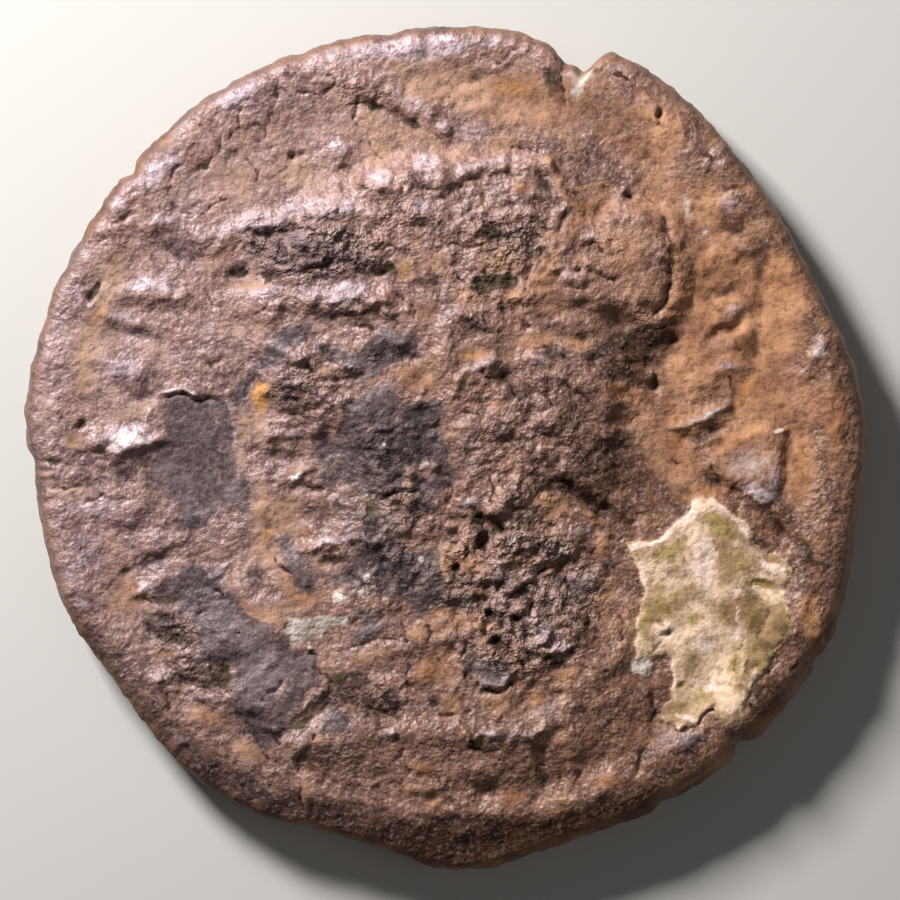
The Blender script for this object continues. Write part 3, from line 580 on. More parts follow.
        (1, -1.9, 0.6, 0.5, 1.2), (8.7, -2.8, 0.5, 0.4, 0.9, -30), (-7, -2.75, 0.7, 0.2, 1, 15),
        (-7.65, -2.95, 0.3, 0.14, 0.8), (1, -7.15, 0.7, 0.12, 0.9), (2.3, -7.8, 0.22, 0.65, 1.1),
        (-3.8, -0.22, 0.7, 0.22, 1.2), (-1.4, -6.2, 0.8, 0.4, 0.7), (4.6, -7.4, 0.4, 0.5, 0.6),
        (-6.65, -3.68, 0.35, 0.18, 1.3), (-8.6, -4.3, 0.35, 0.9, 0.8, 30), (-2.3, -5.7, 0.6, 0.5, 0.6, 20),
        (0.1, -6.2, 0.4, 0.2, 0.4), (-1.1, -3, 1.2, 0.8, 0.8, 10), (-4.45, -3, 0.4, 0.5, 0.9),
        (5.9, -7, 0.5, 0.3, 0.6), (-6.6, -1.85, 0.7, 0.16, 0.7, 5), (-6.9, -4.2, 0.4, 0.4, 0.6),
        (8.5, -2.5, 0.5, 0.3, 0.6, -30), (1, -8.22, 0.4, 0.24, 0.7), (-2.6, -8.6, 1.4, 0.5, 0.7, -10),
        (0.5, -9.3, 2, 0.5, 0.9), (-5, -8.1, 1.4, 0.4, 0.8, -25), (4, -8.9, 1.4, 0.4, 0.9, 25),
        (7.6, -6.4, 0.5, 1, 1, -35), (9.1, -4.6, 0.25, 1, 1, -15), (3.9, -5.3, 0.4, 0.5, 0.5),
        (3.6, -5.8, 0.4, 0.14, 0.8, 15), (3.5, -7.6, 0.4, 0.3, 0.4), (2.4, -0.7, 0.5, 0.12, 1, -10),
        (2.6, -5, 0.6, 0.12, 0.9), (3.2, -4.1, 0.5, 0.12, 0.8, -20), (-7.3, -6.3, 0.3, 0.5, 0.5, 30),
        (-3.4, -7.4, 0.1, 0.5, 0.8, -20), (-1.2, -7.4, 0.3, 0.5, 0.5, -30),
        (4.95, -6.6, 0.18, 0.6, 0.6, -10), (6, -8.2, 0.8, 0.3, 0.7, 35), (4, -0.6, 1.1, 2, 0.95, -10),
        (3.2, -3.5, 1, 0.7, 0.4), (-4.5, 7.5, 1.6, 0.9, 0.32, 15), (5.5, -7.4, 0.9, 0.5, 0.5, 35),
        (0, -9, 3, 0.4, 0.5), (4.3, 1.9, 0.9, 0.6, 0.3), (5.9, -5.1, 0.3, 0.35, 0.8),
        (5.3, -4.4, 0.14, 0.12, 1.2), (6.5, -3.9, 0.3, 0.3, 0.5), (7.5, -2.3, 0.3, 0.14, 0.6, -25),
        (-9.25, 2, 0.5, 1.9, 0.35), (-6.6, 6.9, 1.2, 0.5, 0.3, 40), (-6.2, 4.8, 0.7, 0.4, 0.8, -14),
        (-5.75, 4.9, 0.4, 0.4, 0.5, 15), (-1.5, 8, 0.9, 0.14, 1, -22), (-1.6, 8.5, 0.8, 0.3, 0.3, -10),
        (-7.7, -0.6, 0.75, 0.36, 0.9), (-4.6, 5, 0.4, 0.3, 0.7, 30), (-7, -0.6, 0.2, 0.6, 0.5),
        (-3.4, 1.3, 0.9, 0.3, 0.4), (-3.1, -1.6, 0.45, 0.35, 1.3), (-2.7, -2.72, 0.6, 0.26, 1.3, 8),
        (-1.7, -1.7, 0.25, 0.7, 1.6), (7.6, -4.4, 0.5, 1, 1.8, -25), (7.3, -3.7, 0.35, 0.4, 1.3),
        (7.3, -5.2, 0.2, 0.9, 1.3, -28), (7.9, -4, 0.2, 0.5, 1.5, -20), (7.45, -2.35, 0.4, 0.25, 1.3, -30),
        (6, -3.5, 0.4, 0.25, 0.8), (5.4, -3, 0.3, 0.2, 0.6), (6.3, -5.2, 0.25, 0.3, 0.6),
        (-2.4, 3.12, 1.1, 0.12, 0.7), (-3.3, 4.3, 0.4, 0.12, 1.5), (0.26, -2.93, 0.14, 0.2, 1.5),
        (1.2, -4.64, 0.25, 0.2, 1.2), (1.5, -4, 0.5, 0.12, 1.2), (1.4, -3.2, 0.3, 0.35, 0.7),
        (-6.9, 3.25, 0.8, 0.3, 0.5, -6), (-3.2, 4.65, 1.9, 0.55, 0.95), (-0.8, 7.75, 0.4, 0.16, 1.5, -40),
        (-6.5, -4.2, 0.9, 0.9, 0.8), (-2.6, -1.5, 0.9, 0.4, 0.5), (-0.8, -1.5, 0.9, 0.45, 0.9),
        (3.1, 1.2, 0.9, 0.7, 0.6), (1.7, 1.3, 0.6, 0.4, 0.6), (0.2, -0.2, 0.5, 0.35, 0.7),
        (2.3, -0.3, 0.7, 0.35, 0.6), (-6.1, -1.85, 0.9, 0.25, 0.9), (-1.4, -6.2, 0.6, 0.4, 0.9),
        (-1.9, -8.6, 1.2, 0.4, 0.7, -8), (-7.3, -6.4, 0.5, 0.5, 0.5), (8.7, -4.75, 0.3, 0.5, 0.9, 10),
        (8.12, -0.1, 0.13, 0.85, 0.6), (3.9, -0.5, 0.5, 0.6, 0.3, -20), (2.66, -5.23, 0.34, 0.12, 1.5, 35),
        (1.1, -5.86, 0.26, 0.12, 1.4, -6), (1.54, -5.64, 0.18, 0.1, 1, 30),
        (2.02, -4.88, 0.2, 0.11, 1.3, -30), (3.05, -4.87, 0.16, 0.08, 1.2, 20),
        (-0.5, 0.85, 0.4, 0.18, 1.2), (2.12, -5.6, 0.12, 0.1, 1.2), (-0.2, -6.1, 0.3, 0.16, 0.8),
        (0.25, -5.85, 0.16, 0.12, 0.8), (2.55, -5.9, 0.3, 0.1, 0.8), (-2.3, 1.62, 0.5, 0.16, 1, 12),
        (-1.2, 0.1, 1.7, 1.3, 0.85), (3.3, -4.3, 0.9, 0.9, 0.5), (1.45, -4.5, 0.5, 1, 0.5),
        (-4.05, 4.12, 0.45, 0.2, 1.2, -20), (-4.9, 4.3, 0.4, 0.22, 0.9, 20),
        (-6.55, 4.8, 0.9, 0.3, 0.75, -22), (-6.1, 4.4, 0.5, 0.3, 0.5), (-0.4, 3.95, 0.4, 0.25, 0.8),
        (0, -8.95, 3.6, 0.6, 0.4), (3.5, -1, 0.5, 0.4, -0.3), (-1.7, 4.36, 0.9, 0.2, 0.8, -8),
        (3.8, -0.7, 0.9, 0.8, -0.35), (5.2, 4.6, 0.25, 0.9, -0.4), (-2.1, -5.9, 1.3, 0.8, 0.75),
        (-4.55, -3.2, 0.45, 0.5, 0.7), (-4, 2.4, 1.2, 0.4, 0.45, 35), (-5, 4.12, 0.36, 0.2, 1.3, 10),
        (-4.15, 4.12, 0.4, 0.18, 1, -20), (-3.15, -4.98, 0.3, 0.1, 1.2, -10), (1.2, 3.85, 0.6, 0.2, 0.9, 8),
        (2.45, 6.1, 0.3, 0.3, 0.6), (-2.2, 4.28, 1.1, 0.16, 0.5, -4), (3, -3, 1.6, 1, 0.15),
    ),
    # green-black in pits
    "green": (
        (-8.55, 3.12, 0.14, 0.1, 1, 20), (-2.85, 2.3, 0.34, 0.2, 0.85, -20), (-2.35, 2.12, 0.3, 0.12, 0.52),
        (-1.75, 8.1, 0.5, 0.1, 1.1, -5), (-6.75, 4.85, 0.4, 0.16, 0.7, -10), (-3.2, 8.75, 0.35, 0.2, 0.5),
        (-5.5, 2, 0.3, 0.2, 0.5), (-1.2, 4.15, 0.5, 0.2, 0.7, 20), (0.95, 3.7, 0.28, 0.18, 1.2, 20),
        (1.1, 5.1, 0.4, 0.2, 0.6), (2.3, 6.35, 0.25, 0.25, 0.9), (1.4, 4.8, 1.6, 1.9, 0.45),
        (0.15, 3.45, 0.2, 0.14, 0.9), (2.55, 8.75, 0.25, 0.4, 0.6), (0, 8.6, 0.3, 0.2, 0.6),
        (6.85, 3.72, 0.4, 0.14, 0.5, 30), (4.1, 6.8, 0.16, 0.14, 0.7), (4.45, 6.55, 0.14, 0.12, 0.7),
        (7.8, 5.5, 0.3, 0.5, 0.4, 30), (2.4, 4.6, 0.2, 0.2, 0.6), (4.4, 1.9, 0.8, 0.3, 0.4),
        (-3, -1, 0.32, 0.16, 1.3), (-3.35, -6.55, 0.6, 0.16, 1.2, 38), (-6.75, -4.2, 0.4, 0.3, 0.6),
        (-2.5, -5.5, 0.5, 0.35, 0.7, 20), (-8.4, -4.9, 0.3, 0.3, 0.5), (-9.3, -0.3, 0.3, 0.16, 0.9),
        (-7.65, -2.95, 0.25, 0.12, 0.9), (-6.65, -3.68, 0.3, 0.14, 0.8), (-2.1, -3.1, 0.3, 0.16, 0.9),
        (-5.8, -6, 0.3, 0.2, 0.6), (1.6, -3.85, 0.4, 0.14, 0.6), (-5.2, -5.2, 0.2, 0.4, 0.8),
        (-8.3, 3.72, 0.38, 0.15, 2.4, 60), (-8.62, 0.55, 0.32, 0.22, 1.1, 20),
        (-5.35, 5.85, 0.14, 0.06, 0.9, 30), (-1.45, 7.85, 0.4, 0.12, 0.45, -35),
        (-4.9, 4.15, 0.28, 0.18, 2), (-4.15, 4.02, 0.24, 0.15, 2, 30), (-1.95, 4.15, 0.4, 0.14, 1.3, -20),
        (-1.35, 4.25, 0.28, 0.13, 1.3, 20), (-2.75, -2.75, 0.45, 0.2, 1, 10),
        (0.88, -1.75, 0.24, 0.22, 2.2), (0.88, -2.25, 0.16, 0.3, 2, 10), (1.25, -2, 0.3, 0.1, 1.8, 20),
        (-1.7, -1.5, 0.5, 0.7, 0.7), (-6.9, -1.2, 0.4, 0.3, 0.5, -30), (-3.5, -4.2, 0.7, 0.4, 0.3),
        (-6.45, -4.52, 0.85, 0.24, 1, -6), (-5.45, -5.5, 0.8, 0.5, 0.75, -20), (-6.3, -5.4, 0.5, 0.3, 0.7),
        (2.66, -5.23, 0.3, 0.12, 0.8, 35), (1.2, -5.85, 0.4, 0.14, 0.7), (-0.5, 0.82, 0.3, 0.14, 0.7),
        (-0.2, -6.05, 0.4, 0.3, 0.5), (-6.9, -0.6, 0.4, 0.75, 0.35), (1.2, 3.85, 0.7, 0.22, 2.2, 8),
        (2.35, 6.1, 0.3, 0.3, 0.7),
    ),
    # pale mineral specks and films
    "pale": (
        (-2.25, 1.9, 0.18, 0.12, 0.9), (-4.75, 8.15, 0.1, 0.2, 0.9, -40), (-1.75, 6.5, 0.3, 0.14, 0.7, -15),
        (-2.5, 7.1, 0.2, 0.14, 0.6), (3.05, 8.3, 0.2, 0.3, 0.7), (4.93, 1.68, 0.09, 0.12, 1.2),
        (8, 0.42, 0.11, 0.09, 1.3), (4.2, 6.07, 0.2, 0.08, 0.9, 10), (4.97, 7.92, 0.11, 0.1, 0.9),
        (1.65, 2.95, 0.14, 0.09, 0.8), (2, 2.95, 0.12, 0.07, 0.7), (4, 8.95, 0.6, 0.14, 0.4, 15),
        (4.72, -5.25, 0.24, 0.26, 1.2), (6.47, -7.5, 0.07, 0.22, 1.5, -20), (1.3, -9.8, 0.1, 0.07, 1, 30),
        (-7.65, -5.42, 0.1, 0.09, 1), (-1.9, -3.85, 0.7, 0.14, 0.45, -5), (4.5, -2.3, 0.16, 0.14, 0.7),
        (-9.42, -0.7, 0.18, 0.1, 0.9), (-3.25, -4.82, 0.14, 0.07, 1), (-3.3, -6.15, 0.5, 0.1, 0.5, 35),
        (0.5, -1.36, 0.2, 0.06, 0.5), (-1.24, -6.76, 0.12, 0.08, 0.9, 20), (-2.5, -3.62, 0.26, 0.2, 1.6),
        (-1.83, -3.14, 0.17, 0.15, 1.3), (-2.02, -3.42, 0.13, 0.1, 1.6), (-0.5, -2.6, 0.07, 0.1, 1.4),
        (-3.5, -0.72, 0.45, 0.09, 0.9, 12), (-2.4, -4.1, 0.3, 0.25, 0.5), (3.15, 8.7, 0.34, 0.45, 0.85, 20),
        (3.4, 8.9, 0.3, 0.2, 0.9, -10), (-7.8, 0.1, 0.5, 0.25, 0.6, 20), (-7.2, 0.15, 0.4, 0.22, 0.6),
        (-1.44, 0.05, 0.1, 0.12, 1), (-0.44, 1.35, 0.12, 0.1, 0.8), (-0.66, 0.24, 0.14, 0.13, 0.55),
        (7.95, 0.4, 0.12, 0.1, 0.6), (7.25, -0.4, 0.95, 0.8, 0.62), (-7.45, 0.2, 0.4, 0.18, 0.5, 10),
        (-2.85, -4.15, 0.5, 0.3, 0.45, 10), (4.75, -5.2, 0.36, 0.38, 0.8),
        (-3.35, -4.42, 0.85, 0.65, 0.62, 24), (-2.9, -4.2, 0.7, 0.5, 0.32, 30), (-3.6, -4.3, 0.5, 0.4, 0.2),
    ),
    # lavender sheen where the metal is rubbed
    "sheen": (
        (-2.4, 3.65, 1, 0.32, 1.8), (-4.5, 3.65, 0.8, 0.3, 0.8), (-0.9, 9.45, 1.6, 0.35, 1.6, 3),
        (-2.6, 9.25, 1.3, 0.35, 0.9, 12), (-7.55, 0.18, 0.75, 0.26, 3, 16), (-7.7, 1.85, 0.8, 0.45, 1),
        (-6.8, 6.6, 1.2, 0.32, 1.5, 42), (-7.75, 5.75, 0.3, 0.3, 1.2), (-4.9, 8.35, 1.1, 0.28, 1.5, 25),
        (-0.4, 6.75, 0.45, 0.28, 1.5, -10), (-1.6, 6.45, 0.5, 0.26, 1.6, -15),
        (-0.6, 5.75, 0.35, 0.25, 1.2), (-2.5, 7.05, 0.32, 0.28, 1.4), (-3.7, 2.2, 0.35, 0.16, 1.4),
        (-1.1, 2.5, 0.3, 0.22, 1), (-0.9, 8.25, 0.9, 0.25, 1.1, -30), (-6, 6.2, 1.2, 0.7, 0.5, 30),
        (-8.7, 4.6, 0.35, 0.4, 0.7), (-5.7, 2.8, 1.2, 0.9, 0.4), (-3.6, 0.25, 0.7, 0.2, 0.7),
        (-2.5, 4.7, 0.6, 0.2, 0.9), (-1.3, 1.4, 0.4, 0.25, 0.6), (-3.5, 1.6, 0.5, 0.14, 0.9, 10),
        (-6.6, 5.45, 0.9, 0.16, 1, 15), (0, 9.72, 0.5, 0.2, 1.5), (1.1, 9.68, 0.7, 0.2, 1.8, 3),
        (0.5, 7.5, 1.3, 0.35, 0.8, -5), (1, 6.75, 1.4, 0.2, 1.1, 10), (4.1, 8.95, 0.6, 0.2, 0.9, 15),
        (2.1, 9.45, 0.5, 0.1, 0.8, 10), (6.5, 6.75, 0.4, 0.22, 0.8, 20), (6.75, 5.7, 0.35, 0.2, 0.9, 10),
        (6.9, 3.2, 0.45, 0.25, 1, 20), (6.7, 1.88, 0.35, 0.12, 1.1), (8.9, 2.3, 0.3, 0.3, 1.4),
        (8.5, 1.8, 0.2, 0.14, 1, 20), (6, 0.7, 0.8, 0.12, 0.9, 22), (2.2, 2.05, 0.35, 0.16, 0.9),
        (0.8, 1.9, 0.7, 0.2, 1, 25), (3, 4.1, 0.5, 0.3, 0.7), (3.5, 4.9, 0.4, 0.14, 0.8),
        (0.1, 5.7, 0.6, 0.4, 0.5), (2.2, 1, 0.4, 0.3, 0.5), (7, 4.75, 0.3, 0.2, 0.6),
        (6.4, 2.35, 0.4, 0.2, 0.5, 15), (5.5, 6.6, 0.5, 0.6, 0.4), (-7.15, -3.32, 0.35, 0.14, 2, 40),
        (1.3, -6.8, 1, 0.14, 1.2), (-2.7, -2.28, 0.7, 0.1, 1.8, 12), (-8.9, -3.2, 0.4, 0.9, 0.5, 20),
        (5.5, -7, 0.8, 0.25, 0.5, 20), (2.75, -4.78, 0.45, 0.12, 1.4, 5), (8.4, -3.4, 0.4, 0.3, 0.7),
        (-4.3, -5.3, 1.2, 1.3, 0.5), (-5.2, -4.2, 0.9, 0.6, 0.4), (-6.2, -6.96, 0.22, 0.1, 1.6),
        (-1.24, -6.76, 0.18, 0.1, 1.6), (-1.9, -4.3, 0.8, 0.2, 0.5, 10), (-8.4, -1.5, 1.1, 0.35, 0.9),
        (7.85, -0.9, 0.18, 0.5, 1.2), (0.5, -1.35, 0.4, 0.12, 1), (0.6, -0.5, 0.5, 0.3, 0.7),
        (1.4, -2.8, 0.3, 0.1, 1), (2.3, -4.4, 0.25, 0.2, 1), (0.2, -1.95, 0.2, 0.1, 0.8),
        (8.2, -4.8, 0.2, 0.5, 0.6, -25), (4.3, -3.6, 0.25, 1, 0.5), (-8.6, -3.7, 0.3, 0.2, 0.8),
        (-7.6, -5.6, 0.4, 0.3, 0.7, -40), (3, -6.3, 0.9, 0.3, 0.4), (1.3, -5.5, 0.4, 0.08, 1.2, 15),
        (-4.5, -5.3, 1, 1, 0.6), (-5.8, -7.3, 0.6, 0.25, 0.6, -35), (-0.6, 9.45, 1.8, 0.3, 0.9),
        (0.6, 0.2, 1, 0.9, 0.3), (-7, 3.85, 0.8, 0.24, 1.8, -3), (-7.6, 3.1, 0.5, 0.18, 1.2, -15),
        (-9.3, 2, 0.4, 2.4, 0.6), (-0.5, 6.65, 0.4, 0.25, 0.8), (-7.6, 0.3, 0.75, 0.28, 2.2, 10),
        (-1.8, -3.95, 0.9, 0.22, 0.9, -5), (-4.4, 5.4, 1.5, 0.4, 1.3, 18), (-2.6, 5.7, 1.3, 0.4, 1.1),
        (7.3, -0.5, 1, 0.7, 0.5), (7.45, -1.1, 0.6, 0.24, 1.7, -24), (-2.8, -1.95, 0.7, 0.14, 0.4),
        (2.6, -2.45, 0.5, 0.16, 1.2, 30), (3.6, -3, 0.5, 0.3, 0.5, 20), (0.6, -1.35, 0.3, 0.12, 0.7, 10),
        (-8.5, -2.5, 0.7, 0.9, 0.6), (-7.4, 0.2, 0.7, 0.3, 1), (-0.5, 9.45, 1.7, 0.3, 0.5, 4),
        (-8, 2.7, 0.5, 0.6, 0.5), (-6.3, -7, 0.5, 0.2, 1.2, -30), (-5.2, -7.9, 0.6, 0.2, 0.8, -40),
        (1.7, -2.2, 0.6, 0.2, 0.9, 20), (3.2, -2, 0.6, 0.2, 0.7, 20), (-1.75, 1.3, 0.7, 0.28, 1.1, 30),
        (-2.1, 0.95, 0.4, 0.2, 0.7), (-0.6, 1.12, 0.4, 0.09, 1.2, 8), (-0.35, 0.2, 0.3, 0.14, 0.7),
        (-1.45, 0.46, 0.3, 0.07, 0.9, 20), (0.8, -5.15, 0.4, 0.35, 0.6), (2.75, -4.78, 0.4, 0.09, 0.8, 5),
        (-2.3, 1.92, 0.26, 0.12, 1, 10), (-0.3, -0.75, 0.4, 0.1, 0.8, 30), (1.2, -5.5, 0.6, 0.06, 0.8, 15),
        (-0.88, -0.6, 0.24, 0.24, 0.8), (-0.42, -0.5, 0.26, 0.26, 0.9), (-0.1, -4.1, 0.5, 0.24, 0.6, 10),
        (7.2, -0.3, 1.1, 0.8, 0.35), (0.3, -4.6, 0.9, 0.5, 0.6), (2.4, -4.5, 0.7, 0.5, 0.5),
        (-0.9, 2.9, 0.5, 0.3, 0.5), (1.5, -3.8, 2, 1.6, 0.55), (1, -5.8, 1.6, 1, 0.5),
        (2.3, -6.3, 0.7, 0.5, 0.4), (-3.4, 4.8, 0.9, 0.35, 0.5), (-0.5, 9.45, 1.6, 0.3, 0.3, 4),
        (-7.5, 0.25, 0.5, 0.2, 0.4), (5.6, -6.9, 0.8, 0.3, 0.6, -10), (-1.9, -4.4, 1, 0.4, 0.4, 8),
        (-3.4, 4.75, 1.2, 0.4, 0.5, 4), (2.6, -3.4, 1.4, 1, 0.4),
    ),
    # the crust is one area, with cream and olive places in it
    "crust": (),
    "cream": (
        (6.15, -2.7, 0.42, 0.85, 1.1), (6.25, -4.65, 0.4, 0.3, 1.1), (7.75, -2.83, 0.42, 0.16, 1.8, -8),
        (7.4, -2.4, 0.3, 0.2, 0.6, -20), (5.3, -4.4, 0.26, 0.3, 0.8), (4.68, -3.1, 0.12, 0.8, 0.9, -5),
        (5.4, -5.5, 0.1, 0.5, 1), (6.4, -5.7, 0.24, 0.2, 1), (5.7, -6.4, 0.5, 0.14, 0.9, -5),
        (6.75, -6.3, 0.2, 0.2, 0.6), (6, -3.6, 0.5, 0.2, 0.6, 20), (5.6, -3.2, 0.14, 0.3, 0.6),
        (7, -3.4, 0.08, 0.3, 0.8), (6.1, -2.8, 0.6, 0.9, 0.3), (6.2, -5.2, 0.8, 0.7, 0.3),
    ),
    "olive": (
        (5.3, -2.65, 0.51, 0.33, 0.96, 20), (6.5, -1.85, 0.68, 0.3, 0.88, -30),
        (7.6, -3.25, 0.32, 0.13, 2.6, 10), (5.3, -3.7, 0.63, 0.42, 0.8), (4.8, -4.3, 0.21, 0.9, 0.72),
        (7.15, -3.1, 0.3, 0.68, 0.72), (7.4, -4, 0.45, 0.6, 1.04), (7.6, -4.9, 0.3, 1.35, 0.88, -28),
        (7.2, -5.1, 0.18, 1.2, 0.64, -22), (5.6, -5.65, 0.16, 0.14, 1.7), (5.9, -5.1, 0.39, 0.45, 0.8),
        (5.28, -4.4, 0.12, 0.1, 1.6), (6.9, -5.2, 0.24, 0.9, 0.64, -10), (5.9, -4.1, 0.6, 0.21, 0.64, 10),
        (6.6, -3.9, 0.3, 0.45, 0.56), (6.1, -5.9, 0.3, 0.3, 0.48), (7.9, -4.3, 0.15, 0.75, 0.64, -25),
        (5.6, -2.3, 0.3, 0.21, 0.56, 30),
    ),
    # how coarse the surface is, above or below the usual
    "coarse": (
        (-1, 5.2, 1.6, 1.6, 0.4), (-3, 4.55, 2.2, 0.8, 1.5), (-4.6, 7, 2.8, 1.7, -0.3, 20),
        (-7.6, 2.2, 1.8, 3.4, -0.25), (-3.3, 1.4, 1.4, 1.4, 0.6), (-1.8, 8.4, 1.2, 0.3, 0.8, -18),
        (-1, 5.3, 1.2, 1, 0.5), (-1.5, 2.3, 1, 0.5, 0.5), (-2.6, 3.5, 1.8, 0.4, 0.5),
        (1.8, 0.2, 2.6, 2.2, 0.6), (1.3, 4.6, 1.8, 2.1, 1), (3.6, 4.2, 1.4, 1.2, 0.4),
        (7.4, 3.5, 1.8, 5.5, -0.45, 5), (2.5, 8.4, 3.4, 1, -0.4, -8), (5.4, -0.6, 0.9, 1.5, -0.8),
        (4.4, 2.2, 1.6, 0.9, 0.4), (-5.9, -0.25, 1.4, 1.7, -1.1), (6.3, -4, 2, 3, -0.3),
        (-1.4, -6, 1.2, 0.8, 0.6), (-1.4, -1.6, 1.6, 1.4, 0.6), (-6.3, -5.2, 0.9, 0.9, 0.7),
        (-1.4, 0, 1.5, 1.3, 0.7), (-1.1, -3, 1.5, 1, 0.7), (1.7, -1.2, 0.9, 0.5, 1),
        (-3.2, 4.7, 1.8, 0.6, 0.7), (1.7, -3.6, 2.4, 2.3, 2.9), (-6.4, -4.2, 0.9, 0.9, 0.8),
        (-3.2, -4.4, 1.1, 0.7, -0.4, 10), (-4.5, -5.6, 1.4, 1.3, -0.1), (-0.9, -1.6, 1.2, 0.7, 0.5),
        (-5.5, -5.5, 1, 0.6, 0.5, -20), (-6.4, -4.4, 0.9, 0.4, 0.5), (5.2, 4.5, 0.35, 1.3, 0.9),
        (5, 3.2, 0.8, 0.4, 0.7), (-3.2, 4.8, 2, 0.7, 0.9, 4), (-3.4, 5.5, 1.8, 0.4, 0.8, 8),
    ),
}

# Stains along lines: (width, amount, line).
STAIN_LINES = {
    "earth": (
        (0.24, 0.9, -7.85, 4.5, -7.95, 3.9, -8.25, 3.1, -8.5, 2.3, -8.6, 1.4),
        (0.2, 0.5, -4.4, 1.3, -4.3, 0.4), (0.22, 0.7, 3.1, 5.35, 2.6, 4.75, 2.3, 4.2, 2.2, 3.7),
        (0.07, 1.3, 2.45, 6.85, 2.65, 6.4, 2.9, 5.9, 3.2, 5.66, 3.6, 5.78),
        (0.05, 0.9, 3.1, 6.05, 3.9, 6.22), (0.05, 0.9, 4.45, 8.5, 4.85, 8.22), (0.05, 0.8, 4.5, 8, 5, 7.72),
        (0.3, 0.75, -4.95, -3.35, -4.7, -3.85, -4.2, -4, -3.7, -3.75, -3.3, -3.5),
        (0.24, 0.8, -4.2, -2.2, -4.05, -2.8, -3.75, -3.2, -3.5, -3.5),
        (0.25, 0.8, -4.3, -1, -4.3, -1.6, -4.15, -2.1),
        (0.05, 1.4, -3.95, -1.97, -3.5, -1.98, -3.15, -2.05), (0.1, 0.8, -9.2, -1.02, -8.2, -0.95),
        (0.34, 0.2, -7.9, 4.3, -7.95, 3.6, -8.35, 2.9, -8.5, 2.1),
        (0.22, 0.9, -8.7, 5, -8.3, 5.5, -7.9, 6.2), (0.2, 0.8, -7.4, 6.7, -6.9, 7.3),
        (0.5, 0.3, -7.6, -3.1, -7.7, -4.3, -7.9, -5.2), (0.16, 0.45, -4.85, -3.6, -4.4, -3.95, -3.9, -4.05),
    ),
    "charcoal": (
        (0.45, 0.85, -1.75, -1, -1.65, -1.7, -1.75, -2.4),
        (0.34, 1.15, -3.85, -2.25, -3.6, -2.5, -3.3, -3.1), (0.2, 0.8, -0.2, -3.6, 0.4, -3.7),
    ),
    "umber": (
        (0.14, 1, 2, -0.7, 3, -0.95, 3.9, -1.6, 4.5, -2),
        (0.11, 0.75, 6.1, -0.62, 6.6, -1.05, 7.1, -1.38, 7.7, -1.72, 8.3, -2.12, 8.7, -2.45),
        (0.1, 1.6, 1.05, -3.98, 1.45, -4.05, 1.9, -4.12), (0.07, 1, -0.95, 0.62, -0.5, 0.6, -0.1, 0.7),
        (0.05, 1, 0.5, -5.3, 0.75, -5.55, 0.65, -5.9),
    ),
    "pale": (
        (0.05, 0.9, -6.95, 0.95, -7.02, 0.75, -6.98, 0.5), (0.05, 0.8, 8.05, 4.72, 8.3, 5),
        (0.06, 0.6, 5.45, 0.48, 6, 0.7, 6.5, 0.88), (0.06, 0.8, 9, -4.1, 9.02, -4.9),
        (0.05, 1, -6.66, 1.3, -6.3, 1.44, -6, 1.3), (0.05, 0.5, -8.2, 5.08, -7.7, 5.2, -7.2, 5.2),
        (0.05, 0.8, -5.9, 5.52, -5.6, 5.7, -5.35, 5.85), (0.16, 0.42, 5.72, 6, 5.8, 5.75, 5.78, 5.5),
        (0.16, 0.5, 5.9, 5.38, 6.15, 5.33, 6.22, 5.1, 6.05, 4.85), (0.05, 0.5, 6.65, 7.18, 6.35, 6.9),
        (0.04, 0.5, -0.58, 0.68, -0.4, 0.6, -0.2, 0.72),
    ),
    "cream": (
        (0.1, 1.3, 4.35, -2.35, 4.9, -2.35, 5.5, -1.85, 6.1, -1.33, 6.5, -1.4, 7.25, -2.05),
        (0.06, 1, 6.95, -3.4, 6.92, -4.6), (0.07, 1, 4.5, -2.6, 4.68, -3.3, 4.5, -4.2, 4.55, -4.9),
    ),
}

